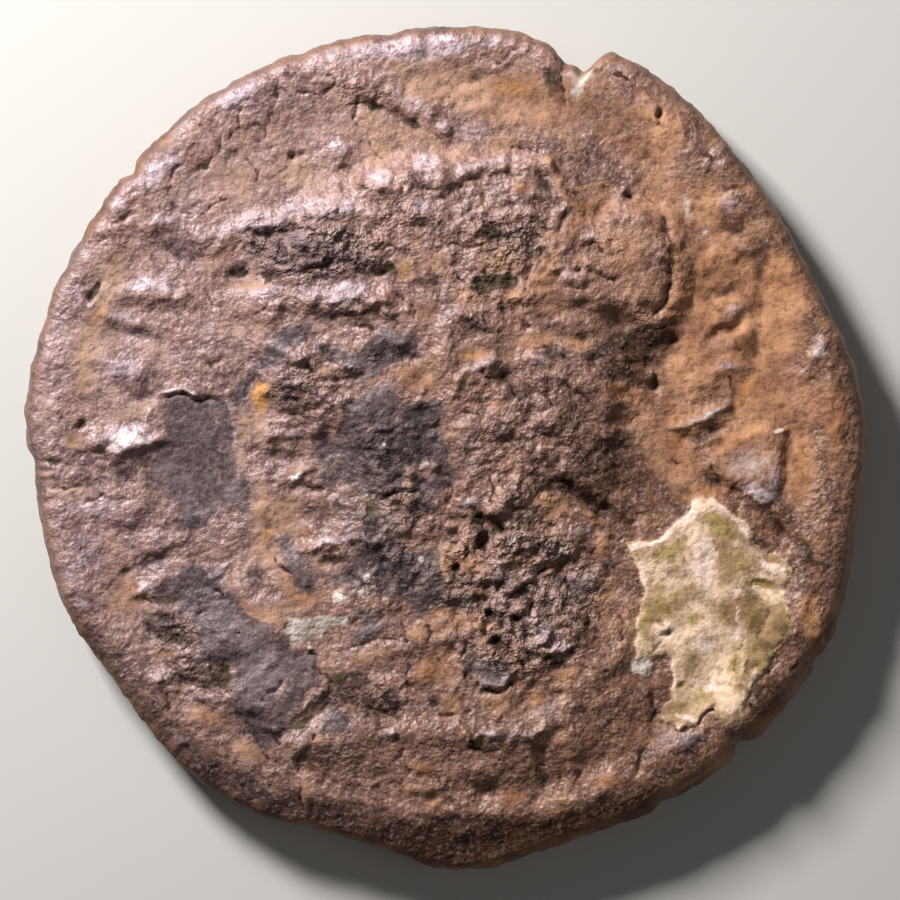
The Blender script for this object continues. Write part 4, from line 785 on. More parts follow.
# Stains inside outlines: (softness of the border, amount, outline).
STAIN_AREAS = {
    "charcoal": (
        (0.4, 1.15, -6.68, 1.15, -6.3, 1.22, -5.8, 1.12, -5.2, 1.05, -5, 0.6, -4.95, -0.5, -5, -1.2, -5.3,
         -1.62, -6, -1.72, -6.6, -1.25, -6.95, -0.7, -6.85, -0.1, -6.6, 0.25, -6.8, 0.65),
        (0.3, 1.5, -5.15, 1.25, -4.75, 1.72, -4.45, 1.95, -4.1, 2.5, -3.8, 2.8, -3.15, 2.92, -3.05, 2.68,
         -3.3, 2.45, -3.7, 2.35, -3.95, 1.95, -4.4, 1.8, -4.6, 1.4, -4.9, 1),
        (0.34, 1.5, -3, 2.4, -2.6, 2.25, -2.3, 2.1, -1.85, 2.35, -1.45, 2.75, -0.75, 2.75, -0.62, 2.2, -1.2,
         2, -1.75, 1.6, -2.3, 1.45, -2, 1.8, -2.7, 2),
        (0.6, 1.2, -2.5, 1, -1.2, 1.2, -0.2, 0.95, 0, 0, 0.25, -0.85, -0.3, -1.1, -1.2, -1, -1.9, -0.9,
         -2.9, -0.9, -3, 0.1, -2.4, 0.5),
        (0.6, 1.1, -2.6, -3.1, -1.8, -2.4, -0.2, -2.3, 0, -3.3, -0.4, -4, -1.4, -3.7, -2.2, -3.4),
        (0.45, 1.1, -7, -3.4, -6.2, -2.95, -5.2, -2.85, -5, -3.6, -4.4, -4.15, -3.7, -4.2, -3.2, -4.9, -2.9,
         -4.9, -3, -5.6, -3.5, -6.3, -4.1, -6.9, -4.7, -6.8, -5.1, -6.1, -5, -5.2, -5.8, -5, -6, -4.1, -6.7,
         -3.6),
    ),
    "crust": (
        (0.12, 1, 4.3, -2.2, 4.8, -2.3, 5.15, -2.18, 5.6, -1.7, 6.1, -1.22, 6.45, -1.3, 7.3, -2, 7.35,
         -2.45, 8.15, -2.62, 8.2, -2.95, 7.95, -3.3, 8.2, -4, 7.9, -4.8, 7.3, -5.9, 6.95, -6.45, 6.5, -6.45,
         6.4, -6.05, 6, -6.45, 5.6, -6.72, 5.2, -6.5, 5.4, -5.9, 5.4, -5, 4.6, -5.05, 4.55, -4.2, 4.75,
         -3.4, 4.5, -2.7),
    ),
}

WORKED_OUT = ("hollow", "valley", "flank", "seam")
LAYERS = (*STAIN_SPOTS, *WORKED_OUT)


def rgb(red, green, blue):
    """A screen colour, 0 to 255, as the linear colour that shaders use."""
    screen = np.array([red, green, blue]) / 255.0
    linear = np.where(screen <= 0.04045, screen / 12.92, ((screen + 0.055) / 1.055) ** 2.4)
    return (*linear.tolist(), 1.0)


# ---------------------------------------------------------------- shapes as functions


def soft_step(value):
    """0 below zero, 1 above one, and a smooth rise between."""
    t = np.clip(value, 0.0, 1.0)
    return t * t * (3.0 - 2.0 * t)


def swelling(x, y, centre, half_sizes, turn=0.0):
    """A smooth rise that is 1 in the middle of an ellipse and 0 outside it."""
    cosine = np.cos(np.radians(turn))
    sine = np.sin(np.radians(turn))
    along = (x - centre[0]) * cosine + (y - centre[1]) * sine
    across = (y - centre[1]) * cosine - (x - centre[0]) * sine
    reach = (along / half_sizes[0]) ** 2 + (across / half_sizes[1]) ** 2
    return np.clip(1.0 - reach, 0.0, None) ** 1.5


def path_distance(x, y, points):
    """The distance from each place to a line through the points."""
    nearest = np.full(x.shape, np.inf)
    for (ax, ay), (bx, by) in zip(points, points[1:]):
        along = ((x - ax) * (bx - ax) + (y - ay) * (by - ay)) / ((bx - ax) ** 2 + (by - ay) ** 2)
        along = np.clip(along, 0.0, 1.0)
        nearest = np.minimum(nearest, np.hypot(x - ax - along * (bx - ax), y - ay - along * (by - ay)))
    return nearest


def hump(away, width):
    """1 where `away` is zero, falling off on both sides within about the width."""
    return np.exp(-((away / width) ** 2))


def ridge(x, y, points, width):
    """A rounded ridge, 1 high, along a line."""
    return hump(path_distance(x, y, points), width)


def depth_inside(x, y, outline):
    """How far inside a closed outline each place is, negative outside it."""
    closed = outline + outline[:1]
    inside = np.zeros(x.shape, bool)
    for (ax, ay), (bx, by) in zip(closed, closed[1:]):
        if ay == by:
            continue
        crosses = (ay > y) != (by > y)
        inside ^= crosses & (x < ax + (y - ay) * (bx - ax) / (by - ay))
    return np.where(inside, 1.0, -1.0) * path_distance(x, y, closed)


def stairs(value):
    """A rising value turned into steps: flat for most of each whole number, then steep."""
    whole = np.floor(value)
    return whole + soft_step((value - whole - 0.75) / 0.25)


def noise(x, y, size, seed):
    """Smooth noise in about -1..1 whose lumps are `size` across."""
    cells = 128
    turns = np.random.default_rng(seed).random((cells, cells)) * 2.0 * np.pi
    gx = np.cos(turns)
    gy = np.sin(turns)
    u = x / size
    v = y / size
    column = np.floor(u).astype(int)
    row = np.floor(v).astype(int)
    u = u - column
    v = v - row

    def corner(dx, dy):
        at = ((row + dy) % cells, (column + dx) % cells)
        return gx[at] * (u - dx) + gy[at] * (v - dy)

    fade_u = u * u * u * (u * (u * 6.0 - 15.0) + 10.0)
    fade_v = v * v * v * (v * (v * 6.0 - 15.0) + 10.0)
    low = corner(0, 0) * (1.0 - fade_u) + corner(1, 0) * fade_u
    high = corner(0, 1) * (1.0 - fade_u) + corner(1, 1) * fade_u
    return 1.5 * (low * (1.0 - fade_v) + high * fade_v)


def rough(x, y, size, octaves, seed):
    """Noise with ever finer lumps added, each half as strong."""
    total = np.zeros(x.shape)
    for i in range(octaves):
        total = total + noise(x, y, size / 2.0**i, seed + i) / 2.0**i
    return total


# ---------------------------------------------------------------- maps of a face

AXIS = np.linspace(-MAP_REACH, MAP_REACH, MAP_SIDE)
MAP_X, MAP_Y = np.meshgrid(AXIS, AXIS)
MAP_RADIUS = np.hypot(MAP_X, MAP_Y)


def grown(size, octaves, seed):
    """Rough noise over the whole map."""
    return rough(MAP_X, MAP_Y, size, octaves, seed)


def wandered(values, seed):
    """Places moved a little each way, so that no mark laid there has a clean edge."""
    broad = BROAD_WANDER * noise(MAP_X, MAP_Y, 1.1, seed)
    return values + broad + FINE_WANDER * grown(0.38, 4, seed + 1)


WOBBLY_X = wandered(MAP_X, 11)
WOBBLY_Y = wandered(MAP_Y, 21)
UNEVEN = np.clip(LINE_STRENGTH + LINE_UNEVENNESS * grown(0.55, 2, 201), 0.35, 1.4)


def window(points, margin):
    """The part of the maps that lies within a margin of some points."""
    cuts = []
    for axis in (1, 0):
        values = [point[axis] for point in points]
        first = int((min(values) - margin + MAP_REACH) / MAP_STEP)
        last = int((max(values) + margin + MAP_REACH) / MAP_STEP) + 2
        cuts.append(slice(max(first, 0), min(last, MAP_SIDE)))
    return tuple(cuts)


def drawn(rows):
    """Rows of PLATES, LINES and the like, in millimetres: (width or softness, amount, points)."""
    for size, amount, *places in rows:
        yield size, amount, tuple(zip(places[0::2], places[1::2]))


def lay_line(layer, points, width, amount):
    """Adds a rounded line, uneven in strength, to a map."""
    cut = window(points, 3.0 * width + 0.3)
    layer[cut] += amount * UNEVEN[cut] * ridge(WOBBLY_X[cut], WOBBLY_Y[cut], points, width)


def lay_spots(layer, rows):
    """Adds the spots of SPOTS or of a stain to a map."""
    for row in rows:
        x, y, length, width, amount = row[:5]
        turn = sum(row[5:])
        cut = window(((x, y),), max(length, width) + 0.9)
        layer[cut] += amount * swelling(WOBBLY_X[cut], WOBBLY_Y[cut], (x, y), (length, width), turn)


def lay_areas(layer, rows):
    """Adds the areas of PLATES or of a stain to a map, each with a soft border."""
    for softness, amount, outline in drawn(rows):
        cut = window(outline, softness + 0.9)
        depth = depth_inside(WOBBLY_X[cut], WOBBLY_Y[cut], outline)
        layer[cut] += amount * soft_step(depth / softness + 0.5)


def blurred(layer, size):
    """The map smoothed over `size` millimetres, by three running means each way."""
    half = max(1, int(round(size / MAP_STEP / 2.0)))
    for _ in range(3):
        for axis in (0, 1):
            padded = np.pad(layer, [(half + 1, half) if a == axis else (0, 0) for a in (0, 1)], mode="edge")
            total = np.cumsum(padded, axis=axis)
            ahead = np.take(total, range(2 * half + 1, total.shape[axis]), axis=axis)
            behind = np.take(total, range(0, total.shape[axis] - 2 * half - 1), axis=axis)
            layer = (ahead - behind) / (2 * half + 1)
    return layer


def read_map(layer, x, y):
    """The map's value at each place, between its points in a straight line."""
    column = np.clip((x + MAP_REACH) / (2.0 * MAP_REACH) * (MAP_SIDE - 1), 0.0, MAP_SIDE - 1.001)
    row = np.clip((y + MAP_REACH) / (2.0 * MAP_REACH) * (MAP_SIDE - 1), 0.0, MAP_SIDE - 1.001)
    left = column.astype(int)
    low = row.astype(int)
    u = column - left
    v = row - low
    bottom = layer[low, left] * (1.0 - u) + layer[low, left + 1] * u
    top = layer[low + 1, left] * (1.0 - u) + layer[low + 1, left + 1] * u
    return bottom * (1.0 - v) + top * v


# ---------------------------------------------------------------- the flan


def flan_radius(angle):
    """The outline's radius at an angle in radians: a smooth closed curve, and the breaks."""
    degrees = np.degrees(angle) % 360.0
    knots = np.array([knot for knot, _ in FLAN_OUTLINE], float)
    values = np.array([value for _, value in FLAN_OUTLINE])
    knots = np.concatenate([knots[-2:] - 360.0, knots, knots[:2] + 360.0])
    values = np.concatenate([values[-2:], values, values[:2]])
    slopes = (values[2:] - values[:-2]) / (knots[2:] - knots[:-2])
    left = np.clip(np.searchsorted(knots, degrees, side="right") - 1, 1, len(knots) - 3)
    span = knots[left + 1] - knots[left]
    t = (degrees - knots[left]) / span
    rest = 1.0 - t
    radius = values[left] * rest * rest * (1.0 + 2.0 * t) + values[left + 1] * t * t * (3.0 - 2.0 * t)
    radius = radius + span * t * rest * (slopes[left - 1] * rest - slopes[left] * t)
    for centre, half_width, change in EDGE_BREAKS:
        radius = radius + change * np.exp(-(((degrees - centre) / half_width) ** 2) * 2.0)
    return radius


def edge_top_inset(angle):
    """How far the rounded edge reaches in from the outline on the obverse."""
    away = (np.degrees(angle) - WIDE_INSET_ANGLE + 180.0) % 360.0 - 180.0
    return EDGE_TOP_INSET + WIDE_INSET * hump(away, WIDE_INSET_SPREAD)


def outline_middle():
    """The middle of the outline's box, which is the frame's origin."""
    angle = np.radians(np.arange(0.0, 360.0, 0.25))
    x = flan_radius(angle) * np.cos(angle)
    y = flan_radius(angle) * np.sin(angle)
    return (x.max() + x.min()) / 2.0, (y.max() + y.min()) / 2.0


# ---------------------------------------------------------------- the obverse


def on_head(points):
    """Points given in head heights, placed on the coin."""
    return tuple((HEAD_BACK + u * HEAD_HEIGHT, CHIN_LEVEL + v * HEAD_HEIGHT) for u, v in points)


def head_height(x, y):
    """The head's relief: skull, hair in a band, ear, and a plain face."""
    skull, ear_middle, eye, cheek = on_head((SKULL, EAR, EYE, CHEEK))
    hairline = on_head(HAIRLINE)
    body = soft_step((depth_inside(x, y, on_head(PROFILE)) + 0.25) / 0.9)
    hair = soft_step(depth_inside(x, y, hairline + on_head(HAIR_BACK)) / 0.5) * body
    face = (1.0 - hair) * body
    dome = swelling(x, y, skull, (0.66 * HEAD_HEIGHT, 0.60 * HEAD_HEIGHT))
    height = HEAD_RISE * body + HEAD_DOME * dome * body
    height = height + 0.06 * hair
    height = height + 0.06 * ridge(x, y, hairline, 0.45) * body
    ear = np.hypot((x - ear_middle[0]) / 0.55, (y - ear_middle[1]) / 0.85)
    height = height + 0.10 * hump(ear - 1.0, 0.38) * body
    height = height + 0.09 * face * ridge(x, y, on_head(BROW), 0.26)
    height = height - 0.10 * face * swelling(x, y, eye, (1.0, 0.62))
    height = height + 0.12 * face * swelling(x, y, eye, (0.62, 0.36))
    height = height + 0.08 * face * swelling(x, y, cheek, (1.5, 1.2))
    height = height + 0.07 * face * ridge(x, y, on_head(NOSE), 0.30)
    return height + 0.06 * face * ridge(x, y, on_head(JAW), 0.40)


def bust_height(x, y):
    """The draped bust: a low plateau with raised folds and a round brooch."""
    body = soft_step((depth_inside(x, y, BUST) + 0.5) / 1.6)
    height = BUST_RISE * body
    for points, width, rise in FOLDS:
        height = height + rise * ridge(x, y, points, width) * body
    across = np.hypot(x - BROOCH[0], y - BROOCH[1]) / BROOCH_RADIUS
    height = height + BROOCH_RISE * soft_step((1.2 - across) / 0.6)
    return height - BROOCH_GROOVE * hump(across - 0.62, 0.18)


def rim_height():
    """The rim and the trough inside it, more worn on the upper left."""
    worn = 1.0 - 0.65 * soft_step(((MAP_Y - MAP_X) / np.maximum(MAP_RADIUS, 1.0) - 0.5) / 0.6)
    rim = RIM_RISE * hump(MAP_RADIUS - RIM_RADIUS, RIM_WIDTH)
    return worn * (rim - RIM_TROUGH * hump(MAP_RADIUS - RIM_TROUGH_RADIUS, 0.45))


def low_rim_share():
    """How far the rim has sunk at each place, from 0 to 1."""
    low_side = soft_step((-MAP_Y - 0.25 * MAP_X - LOW_RIM_START) / LOW_RIM_SPREAD)
    return soft_step(MAP_RADIUS - LOW_RIM_RADIUS) * low_side


def struck_height(low_rim):
    """The flan with its rim, portrait, scab and plates, before cracks and pits."""
    scab = SCAB_RISE * soft_step(depth_inside(WOBBLY_X, WOBBLY_Y, SCAB) / 0.6 + 0.2)
    portrait = np.maximum(head_height(WOBBLY_X, WOBBLY_Y), scab)
    portrait = np.maximum(portrait, bust_height(WOBBLY_X, WOBBLY_Y))
    height = OBVERSE_LEVEL + rim_height() - LOW_RIM_DROP * low_rim + portrait
    lay_areas(height, PLATES)
    return height


def lay_lines(height):
    """Lays LINES, and returns how far each place is from the nearest thin crack."""
    seam = np.full(height.shape, SEAM_REACH)
    for width, rise, points in drawn(LINES):
        thin_crack = rise < 0.0 and width < SEAM_WIDTH
        lay_line(height, points, width, rise * (SEAM_DEPTH_SHARE if thin_crack else 1.0))
        if thin_crack:
            cut = window(points, SEAM_REACH)
            away = path_distance(WOBBLY_X[cut], WOBBLY_Y[cut], points) + 0.04 * (1.0 - UNEVEN[cut])
            seam[cut] = np.minimum(seam[cut], away)
    return seam


def stain_map(name):
    """One stain's map, laid from its spots, lines and areas."""
    layer = np.zeros((MAP_SIDE, MAP_SIDE))
    lay_spots(layer, STAIN_SPOTS[name])
    for width, amount, points in drawn(STAIN_LINES.get(name, ())):
        lay_line(layer, points, width, amount)
    lay_areas(layer, STAIN_AREAS.get(name, ()))
    return layer


def crumbled(coarse, smooth):
    """The relief that corrosion leaves: swells, scales that end in small steps, and pits."""
    swells = SWELL_RISE * grown(1.6, 3, 31)
    scales = SCALE_RISE * stairs(2.6 * grown(1.2, 5, 51)) * soft_step(0.5 + grown(2.2, 2, 71))
    crumbs = CRUMB_RISE * (0.5 - np.abs(grown(0.60, 3, 61)))
    fine = FINE_RISE * noise(MAP_X, MAP_Y, 0.22, 81)
    scales = scales * np.minimum(coarse, 0.9)
    return swells * (1.0 - 0.5 * smooth) + (1.0 - smooth) * (scales + coarse * (crumbs + fine))


def obverse_maps():
    """The portrait side: its height, and how much of each stain it carries."""
    low_rim = low_rim_share()
    height = struck_height(low_rim)
    seam = lay_lines(height)
    lay_spots(height, SPOTS)

    layers = {name: stain_map(name) for name in STAIN_SPOTS}
    crust = np.clip(layers["crust"], 0.0, 1.0)
    charcoal = np.clip(layers["charcoal"], 0.0, 1.0) * (1.0 - crust)
    coarse = np.clip(USUAL_COARSENESS + layers["coarse"], 0.15, 3.0)
    flat_charcoal = charcoal * np.clip(0.9 - 0.5 * coarse, 0.0, 0.6)
    height = height + CRUST_RISE * crust
    height = height + crumbled(coarse, np.maximum(flat_charcoal, 0.35 * crust))
    layers["hollow"] = (blurred(height, HOLLOW_SIZE) - height) / HOLLOW_DEPTH
    layers["valley"] = (blurred(height, VALLEY_SIZE) - blurred(height, VALLEY_DETAIL)) / VALLEY_DEPTH
    layers["seam"] = seam
    layers["charcoal"] = charcoal
    layers["crust"] = crust
    layers["coarse"] = coarse
    layers["umber"] += LOW_RIM_UMBER * low_rim
    return height, layers


# ---------------------------------------------------------------- the reverse


def strokes(x, y):
    """Rows of short straight strokes round the coin, each turned by the next slant."""
    height = np.zeros(x.shape)
    for first, last, count, radius, length in BACK_STROKES:
        for i in range(count):
            angle = np.radians(first + (last - first) * i / (count - 1))
            slant = angle + np.radians(STROKE_SLANTS[i % len(STROKE_SLANTS)])
            middle = radius * np.array([np.cos(angle), np.sin(angle)])
            half = 0.5 * length * np.array([np.cos(slant), np.sin(slant)])
            bar = (tuple(middle - half), tuple(middle + half))
            cut = window(bar, 1.0)
            height[cut] = np.maximum(height[cut], ridge(x[cut], y[cut], bar, STROKE_WIDTH))
    return height


def reverse_maps():
    """The hidden side: a worn standing figure, flat where it touches what it lies on."""
    x = WOBBLY_X
    y = WOBBLY_Y
    relief = BORDER_RISE * hump(MAP_RADIUS - BORDER_RADIUS, BORDER_WIDTH)
    for centre, half_sizes in FIGURE:
        relief = np.maximum(relief, FIGURE_RISE * swelling(x, y, centre, half_sizes))
    for bar in (STAFF, GROUND_LINE):
        relief = np.maximum(relief, BAR_RISE * ridge(x, y, bar, BAR_WIDTH))
    relief = np.maximum(relief, STROKE_RISE * strokes(x, y))
    grains = 0.05 * grown(1.1, 4, 131) + 0.02 * grown(0.35, 2, 141)
    height = np.maximum(REVERSE_LEVEL - relief + grains, 0.0)
    layers = {name: np.zeros((MAP_SIDE, MAP_SIDE)) for name in LAYERS}
    layers["hollow"] = (height - blurred(height, BACK_HOLLOW_SIZE)) / BACK_HOLLOW_DEPTH
    layers["seam"] += SEAM_REACH
    layers["coarse"] += 1.0
    layers["earth"] = 0.35 + 0.5 * grown(2.6, 3, 151)
    layers["charcoal"] = soft_step((grown(3.1, 4, 161) - 0.35) / 0.12)
    layers["umber"] = 0.3 + 0.5 * grown(1.9, 3, 171)
    layers["sheen"] = np.clip(0.6 * grown(1.7, 2, 181), 0.0, 1.0)
    return height, layers


# ---------------------------------------------------------------- the coin's mesh


def drum():
    """A closed square drum: a fine grid on top, a coarser one below, and rows between."""
    mesh = bmesh.new()
    bmesh.ops.create_grid(mesh, x_segments=OBVERSE_CELLS, y_segments=OBVERSE_CELLS, size=1.0)
    for vertex in mesh.verts:
        vertex.co.z = 1.0
    loop = [edge for edge in mesh.edges if edge.is_boundary]
    for row in EDGE_ROWS:
        made = bmesh.ops.extrude_edge_only(mesh, edges=loop)["geom"]
        for vertex in made:
            if isinstance(vertex, bmesh.types.BMVert):
                vertex.co.z = row
        loop = [edge for edge in made if isinstance(edge, bmesh.types.BMEdge) and edge.is_boundary]
    below = bmesh.ops.create_grid(mesh, x_segments=REVERSE_CELLS, y_segments=REVERSE_CELLS, size=1.0)
    for vertex in below["verts"]:
        vertex.co.z = -1.0
    foot = [edge for edge in mesh.edges if edge.is_boundary]
    bmesh.ops.bridge_loops(mesh, edges=foot)
    bmesh.ops.recalc_face_normals(mesh, faces=mesh.faces)
    return mesh


def square_to_round(u, v):
    """How far out each place on the square drum is, 0 to 1, and its angle round the coin."""
    reach = np.maximum(np.abs(u), np.abs(v))
    safe = np.where(reach > 0.0, reach, 1.0)
    return reach, np.where(
        np.abs(u) >= np.abs(v),
        np.pi / 4.0 * v / safe * np.sign(u) + np.where(u < 0.0, np.pi, 0.0),
        np.pi / 2.0 - np.pi / 4.0 * u / safe * np.sign(v) + np.where(v < 0.0, np.pi, 0.0),
    )


def coin_places(u, v, level, obverse, reverse):
    """Places on the coin for places on the drum, and which of them are on its edge."""
    reach, angle = square_to_round(u, v)
    around_x = EDGE_NOISE_RADIUS * np.cos(angle)
    around_y = EDGE_NOISE_RADIUS * np.sin(angle)
    outline = flan_radius(angle) + RAGGEDNESS * rough(around_x, around_y, 0.55, 3, 61)
    inset = np.where(level > 0.0, edge_top_inset(angle), EDGE_FOOT_INSET)
    face_edge = outline - inset
    squareness = GRID_CORNER / np.maximum(np.abs(np.cos(angle)), np.abs(np.sin(angle)))
    round_share = reach**2
    spread = (1.0 - round_share) * squareness + round_share
    radius = reach * (FLAN_RADIUS * spread + reach**4 * (face_edge - FLAN_RADIUS))
    turn = level * np.pi / 2.0
    on_edge = np.abs(level) < 1.0
    radius = np.where(on_edge, face_edge + inset * np.cos(turn) ** EDGE_ROUNDNESS, radius)
    pitted = EDGE_PITTING * rough(around_x + 3.0 * level, around_y - 2.0 * level, 0.6, 3, 71)
    radius = np.where(on_edge, radius + pitted * np.cos(turn), radius)
    x = radius * np.cos(angle)
    y = radius * np.sin(angle)
    rim_x = face_edge * np.cos(angle)
    rim_y = face_edge * np.sin(angle)
    rim = np.where(level > 0.0, read_map(obverse, rim_x, rim_y), read_map(reverse, rim_x, rim_y))
    edge = EDGE_LEVEL + (rim - EDGE_LEVEL) * np.abs(np.sin(turn)) ** EDGE_SQUARENESS
    faces = np.where(level > 0.0, read_map(obverse, x, y), read_map(reverse, x, y))
    return np.stack([x, y, np.where(on_edge, edge, faces)], axis=1), on_edge


def keep_layers(data, obverse, reverse, x, y, level, on_edge):
    """Keeps each layer on the mesh, as an attribute of the same name."""
    for name in LAYERS:
        if name == "flank":
            amount = np.where(on_edge, 1.0 - np.abs(level) ** 2, 0.0)
        else:
            amount = np.where(level > 0.0, read_map(obverse[name], x, y), read_map(reverse[name], x, y))
        layer = data.attributes.new(name, "FLOAT", "POINT")
        layer.data.foreach_set("value", amount.astype(np.float32))


def make_coin(material):
    """The struck coin as one mesh, with its stains as attributes."""
    mesh = drum()
    u, v, level = np.array([vertex.co for vertex in mesh.verts]).T
    obverse, obverse_layers = obverse_maps()
    reverse, reverse_layers = reverse_maps()
    places, on_edge = coin_places(u, v, level, obverse, reverse)
    x, y, _ = places.T
    data = bpy.data.meshes.new("struck_coin")
    mesh.to_mesh(data)
    mesh.free()
    moved = (places - (*outline_middle(), 0.0)) * MM
    data.vertices.foreach_set("co", moved.astype(np.float32).ravel())
    keep_layers(data, obverse_layers, reverse_layers, x, y, level, on_edge)
    data.materials.append(material)
    data.shade_smooth()
    data.update()
    coin = bpy.data.objects.new("struck_coin", data)
    bpy.context.scene.collection.objects.link(coin)
    return coin


# ---------------------------------------------------------------- materials


class Nodes:
    """Short ways to add and join shader nodes in one material."""

    def __init__(self, name):
        self.material = bpy.data.materials.new(name)
        self.material.use_nodes = True
        self.tree = self.material.node_tree
        self.shader = self.tree.nodes["Principled BSDF"]
        self.place = self.add("ShaderNodeTexCoord").outputs["Object"]
        self.axes = self.add("ShaderNodeSeparateXYZ")
        self.join(self.place, self.axes.inputs[0])

    def add(self, kind, **values):
        node = self.tree.nodes.new(kind)
        for key, value in values.items():
            setattr(node, key, value)
        return node

    def join(self, source, target):
        if isinstance(source, bpy.types.NodeSocket):
            self.tree.links.new(source, target)
        else:
            target.default_value = source

    def feed(self, name, source):
        """Joins a value or a socket to one of the shader's inputs."""
        self.join(source, self.shader.inputs[name])

    def attribute(self, name):
        return self.add("ShaderNodeAttribute", attribute_name=name).outputs["Fac"]

    def math(self, operation, first, second=0.0, clamp=False):
        node = self.add("ShaderNodeMath", operation=operation, use_clamp=clamp)
        self.join(first, node.inputs[0])
        self.join(second, node.inputs[1])
        return node.outputs[0]

    def plus(self, first, second, clamp=False):
        return self.math("ADD", first, second, clamp)

    def minus(self, first, second, clamp=False):
        return self.math("SUBTRACT", first, second, clamp)

    def times(self, first, *others):
        for other in others:
            first = self.math("MULTIPLY", first, other)
        return first

    def most(self, first, *others):
        for other in others:
            first = self.math("MAXIMUM", first, other)
        return first

    def noise(self, size, detail, roughness, shift=0.0):
        """Noise whose lumps are `size` millimetres across, in 0..1."""
        moved = self.add("ShaderNodeVectorMath", operation="ADD")
        self.join(self.place, moved.inputs[0])
        moved.inputs[1].default_value = (shift, shift, shift)
        node = self.add("ShaderNodeTexNoise")
        self.join(moved.outputs[0], node.inputs["Vector"])
        node.inputs["Scale"].default_value = 1.0 / (size * MM)
        node.inputs["Detail"].default_value = detail
        node.inputs["Roughness"].default_value = roughness
        return node.outputs["Fac"]

    def crumbs(self, size, shift):
        """Irregular lumps with sharp joins, from 0 in the joins to about 1 on top."""
        away = self.math("ABSOLUTE", self.minus(self.noise(size, 3.0, 0.55, shift), 0.5))
        return self.math("MULTIPLY", away, 6.0, True)

    def between(self, value, low, high):
        """0 where the value is under low, 1 where it is over high, smooth between."""
        node = self.add("ShaderNodeMapRange", interpolation_type="SMOOTHSTEP")
        self.join(value, node.inputs["Value"])
        node.inputs["From Min"].default_value = low
        node.inputs["From Max"].default_value = high
        return node.outputs["Result"]

    def mix(self, share, under, over):
        """One colour over another. A colour is a socket, or three screen values."""
        node = self.add("ShaderNodeMix", data_type="RGBA")
        self.join(share, node.inputs["Factor"])
        for colour, name in ((under, "A"), (over, "B")):
            self.join(rgb(*colour) if isinstance(colour, tuple) else colour, node.inputs[name])
        return node.outputs["Result"]

    def stairs(self, value):
        """A rising value turned into steps: flat for most of each whole number, then steep."""
        rest = self.math("FRACT", value)
        return self.plus(self.math("FLOOR", value), self.between(rest, 0.70, 1.0))

    def ragged(self, name, fray, reach, low, high):
        """A stain's map with its border broken up by a noise."""
        wander = self.times(self.minus(fray, 0.5), reach)
        return self.between(self.plus(self.attribute(name), wander), low, high)


